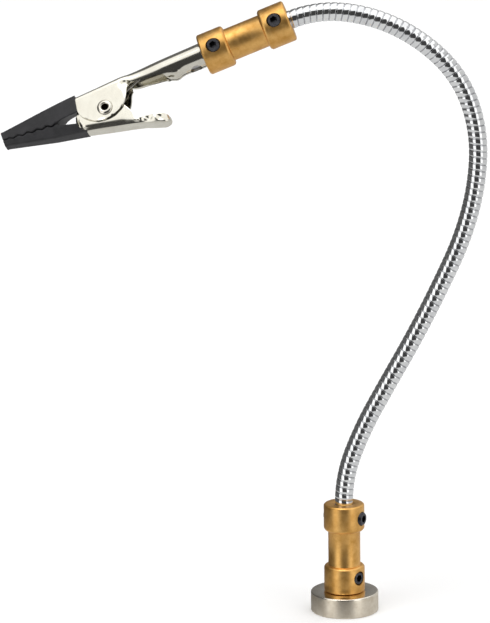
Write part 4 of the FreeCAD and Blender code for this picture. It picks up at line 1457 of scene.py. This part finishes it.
@dataclass
class Studio:
    """Pale floor, the room that the metal mirrors, one weak window light and the camera.

    The metal mirrors the room and not the floor: a dark room behind the camera between two
    tall soft boxes, a white ceiling, a dim wall on the left, a grey one on the right and a
    grey bench below. Levels are 1 for white.
    """

    aim: tuple[float, float, float] = (-21.285, 0.0, 68.233)
    distance: float = 750.0
    pitch: float = 12.6
    roll: float = 0.8
    lens: float = 198.5
    floor_size: float = 6.0
    # degrees round the object from the camera, positive to the right, and the level there
    around: Table = ((-180.0, 0.14), (-150.0, 0.1), (-68.0, 0.08), (-61.0, 1.0), (-33.0, 1.0),
                     (-27.0, 0.04), (27.0, 0.04), (33.0, 1.0), (54.0, 1.0), (61.0, 0.45),
                     (150.0, 0.5), (180.0, 0.14))
    box_level: float = 1.4
    ceiling_level: float = 1.28
    ceiling_from: float = 0.58
    # the ceiling ends over the back left: how far left and back, and the level past its edge
    edge_left: float = 0.8
    edge_back: float = 1.0
    edge_from: float = 0.6
    past_edge_level: float = 0.18
    bench_level: float = 0.72
    bench_from: float = -0.28
    sun_from: tuple[float, float, float] = (-0.2, -0.3, 1.0)
    sun_strength: float = 0.35
    sun_width: float = 30.0
    floor_glow: float = 0.13
    floor_colour: str = "#f8f8f8"
    sensor: float = 36.0

    def camera(self) -> None:
        """Stand the camera in front, looking slightly down."""
        data = bpy.data.cameras.new("camera")
        data.lens, data.sensor_width = self.lens, self.sensor
        data.clip_end = 20.0
        camera = bpy.data.objects.new("camera", data)
        bpy.context.scene.collection.objects.link(camera)
        pitch = math.radians(self.pitch)
        back = Vector((0.0, -math.cos(pitch), math.sin(pitch)))
        camera.matrix_world = (
            Matrix.Translation((Vector(self.aim) + back * self.distance) * MM)
            @ Matrix.Rotation(math.radians(90) - pitch, 4, "X")
            @ Matrix.Rotation(math.radians(-self.roll), 4, "Z"))
        bpy.context.scene.camera = camera

    def floor(self) -> None:
        """Lay a plain pale floor."""
        sheet = bmesh.new()
        bmesh.ops.create_grid(sheet, x_segments=1, y_segments=1, size=self.floor_size / 2)
        mesh = bpy.data.meshes.new("floor")
        sheet.to_mesh(mesh)
        sheet.free()
        floor = bpy.data.objects.new("floor", mesh)
        bpy.context.scene.collection.objects.link(floor)
        floor.visible_glossy = False
        material, _, shader = new_surface("Matte white paper")
        shader.inputs["Base Color"].default_value = srgb(self.floor_colour)
        shader.inputs["Roughness"].default_value = 0.9
        shader.inputs["Specular IOR Level"].default_value = 0.1
        shader.inputs["Emission Color"].default_value = srgb("#ffffff")
        shader.inputs["Emission Strength"].default_value = self.floor_glow
        mesh.materials.append(material)

    def sun(self) -> None:
        """Add the weak window light from the upper left that gives the sleeves their sheen."""
        data = bpy.data.lights.new("window", "SUN")
        data.energy, data.angle = self.sun_strength, math.radians(self.sun_width)
        light = bpy.data.objects.new("window", data)
        bpy.context.scene.collection.objects.link(light)
        light.rotation_mode = "QUATERNION"
        light.rotation_quaternion = Vector(self.sun_from).to_track_quat("Z", "Y")

    def world(self) -> None:
        """Surround everything with the room."""
        world = bpy.data.worlds.new("studio")
        bpy.context.scene.world = world
        world.use_nodes = True
        tree = world.node_tree
        tree.nodes.clear()
        where = add_node(tree, "ShaderNodeTexCoord", {}, {})
        split = add_node(tree, "ShaderNodeSeparateXYZ", {}, {0: where.outputs["Generated"]})
        front = add_node(tree, "ShaderNodeMath", {"operation": "MULTIPLY", 1: -1.0},
                         {0: split.outputs["Y"]})
        angle = add_node(tree, "ShaderNodeMath", {"operation": "ARCTAN2"},
                         {0: split.outputs["X"], 1: front.outputs["Value"]})
        share = add_node(tree, "ShaderNodeMapRange",
                         {"From Min": -math.pi, "From Max": math.pi},
                         {"Value": angle.outputs["Value"]})
        ramp = add_node(tree, "ShaderNodeValToRGB", {}, {0: share.outputs["Result"]})
        marks = ramp.color_ramp.elements
        for number, (degrees, level) in enumerate(self.around):
            place = 0.5 + degrees / 360
            mark = marks[number] if number < 2 else marks.new(place)
            mark.position = place
            mark.color = (level, level, level, 1.0)
        walls = add_node(tree, "ShaderNodeMath", {"operation": "MULTIPLY", 1: self.box_level},
                         {0: ramp.outputs["Color"]})
        above = add_node(tree, "ShaderNodeMapRange",
                         {"interpolation_type": "SMOOTHSTEP", "From Min": self.ceiling_from,
                          "From Max": self.ceiling_from + 0.1}, {"Value": split.outputs["Z"]})
        corner = add_node(tree, "ShaderNodeVectorMath",
                          {"operation": "DOT_PRODUCT", 1: (-self.edge_left, self.edge_back, 0)},
                          {0: where.outputs["Generated"]})
        ceiling = add_node(tree, "ShaderNodeMapRange",
                           {"interpolation_type": "SMOOTHSTEP", "From Min": self.edge_from,
                            "From Max": self.edge_from + 0.12, "To Min": self.ceiling_level,
                            "To Max": self.past_edge_level}, {"Value": corner.outputs["Value"]})
        roofed = add_node(tree, "ShaderNodeMix", {"data_type": "FLOAT"},
                          {0: above.outputs["Result"], 2: walls.outputs["Value"],
                           3: ceiling.outputs["Result"]})
        below = add_node(tree, "ShaderNodeMapRange",
                         {"interpolation_type": "SMOOTHSTEP", "From Min": self.bench_from,
                          "From Max": self.bench_from - 0.12}, {"Value": split.outputs["Z"]})
        room = add_node(tree, "ShaderNodeMix", {"data_type": "FLOAT", 3: self.bench_level},
                        {0: below.outputs["Result"], 2: roofed.outputs[0]})
        # the room is only mirrored: looked at directly, the backdrop is as white as the floor
        ray = add_node(tree, "ShaderNodeLightPath", {}, {})
        seen = add_node(tree, "ShaderNodeMix", {"data_type": "FLOAT", 3: 1.0},
                        {0: ray.outputs["Is Camera Ray"], 2: room.outputs[0]})
        background = add_node(tree, "ShaderNodeBackground", {"Color": (1, 1, 1, 1)},
                              {"Strength": seen.outputs[0]})
        add_node(tree, "ShaderNodeOutputWorld", {}, {"Surface": background.outputs[0]})

    def make(self) -> None:
        """Set up the whole studio."""
        self.floor()
        self.world()
        self.sun()
        self.camera()
        bpy.context.scene.view_settings.view_transform = "Standard"


def main() -> None:
    """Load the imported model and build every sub-assembly."""
    logging.basicConfig(level=logging.INFO, format="%(name)s: %(message)s")
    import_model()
    line = NeckLine()
    coupler, screws = Coupler(), GrubScrews()
    Foot().make(coupler, screws)
    Gooseneck(line).make()
    ClipJoint(line).make(coupler, screws)
    Clip(line).make()
    Studio().make()
    bpy.context.view_layer.update()


if __name__ == "__main__":
    main()
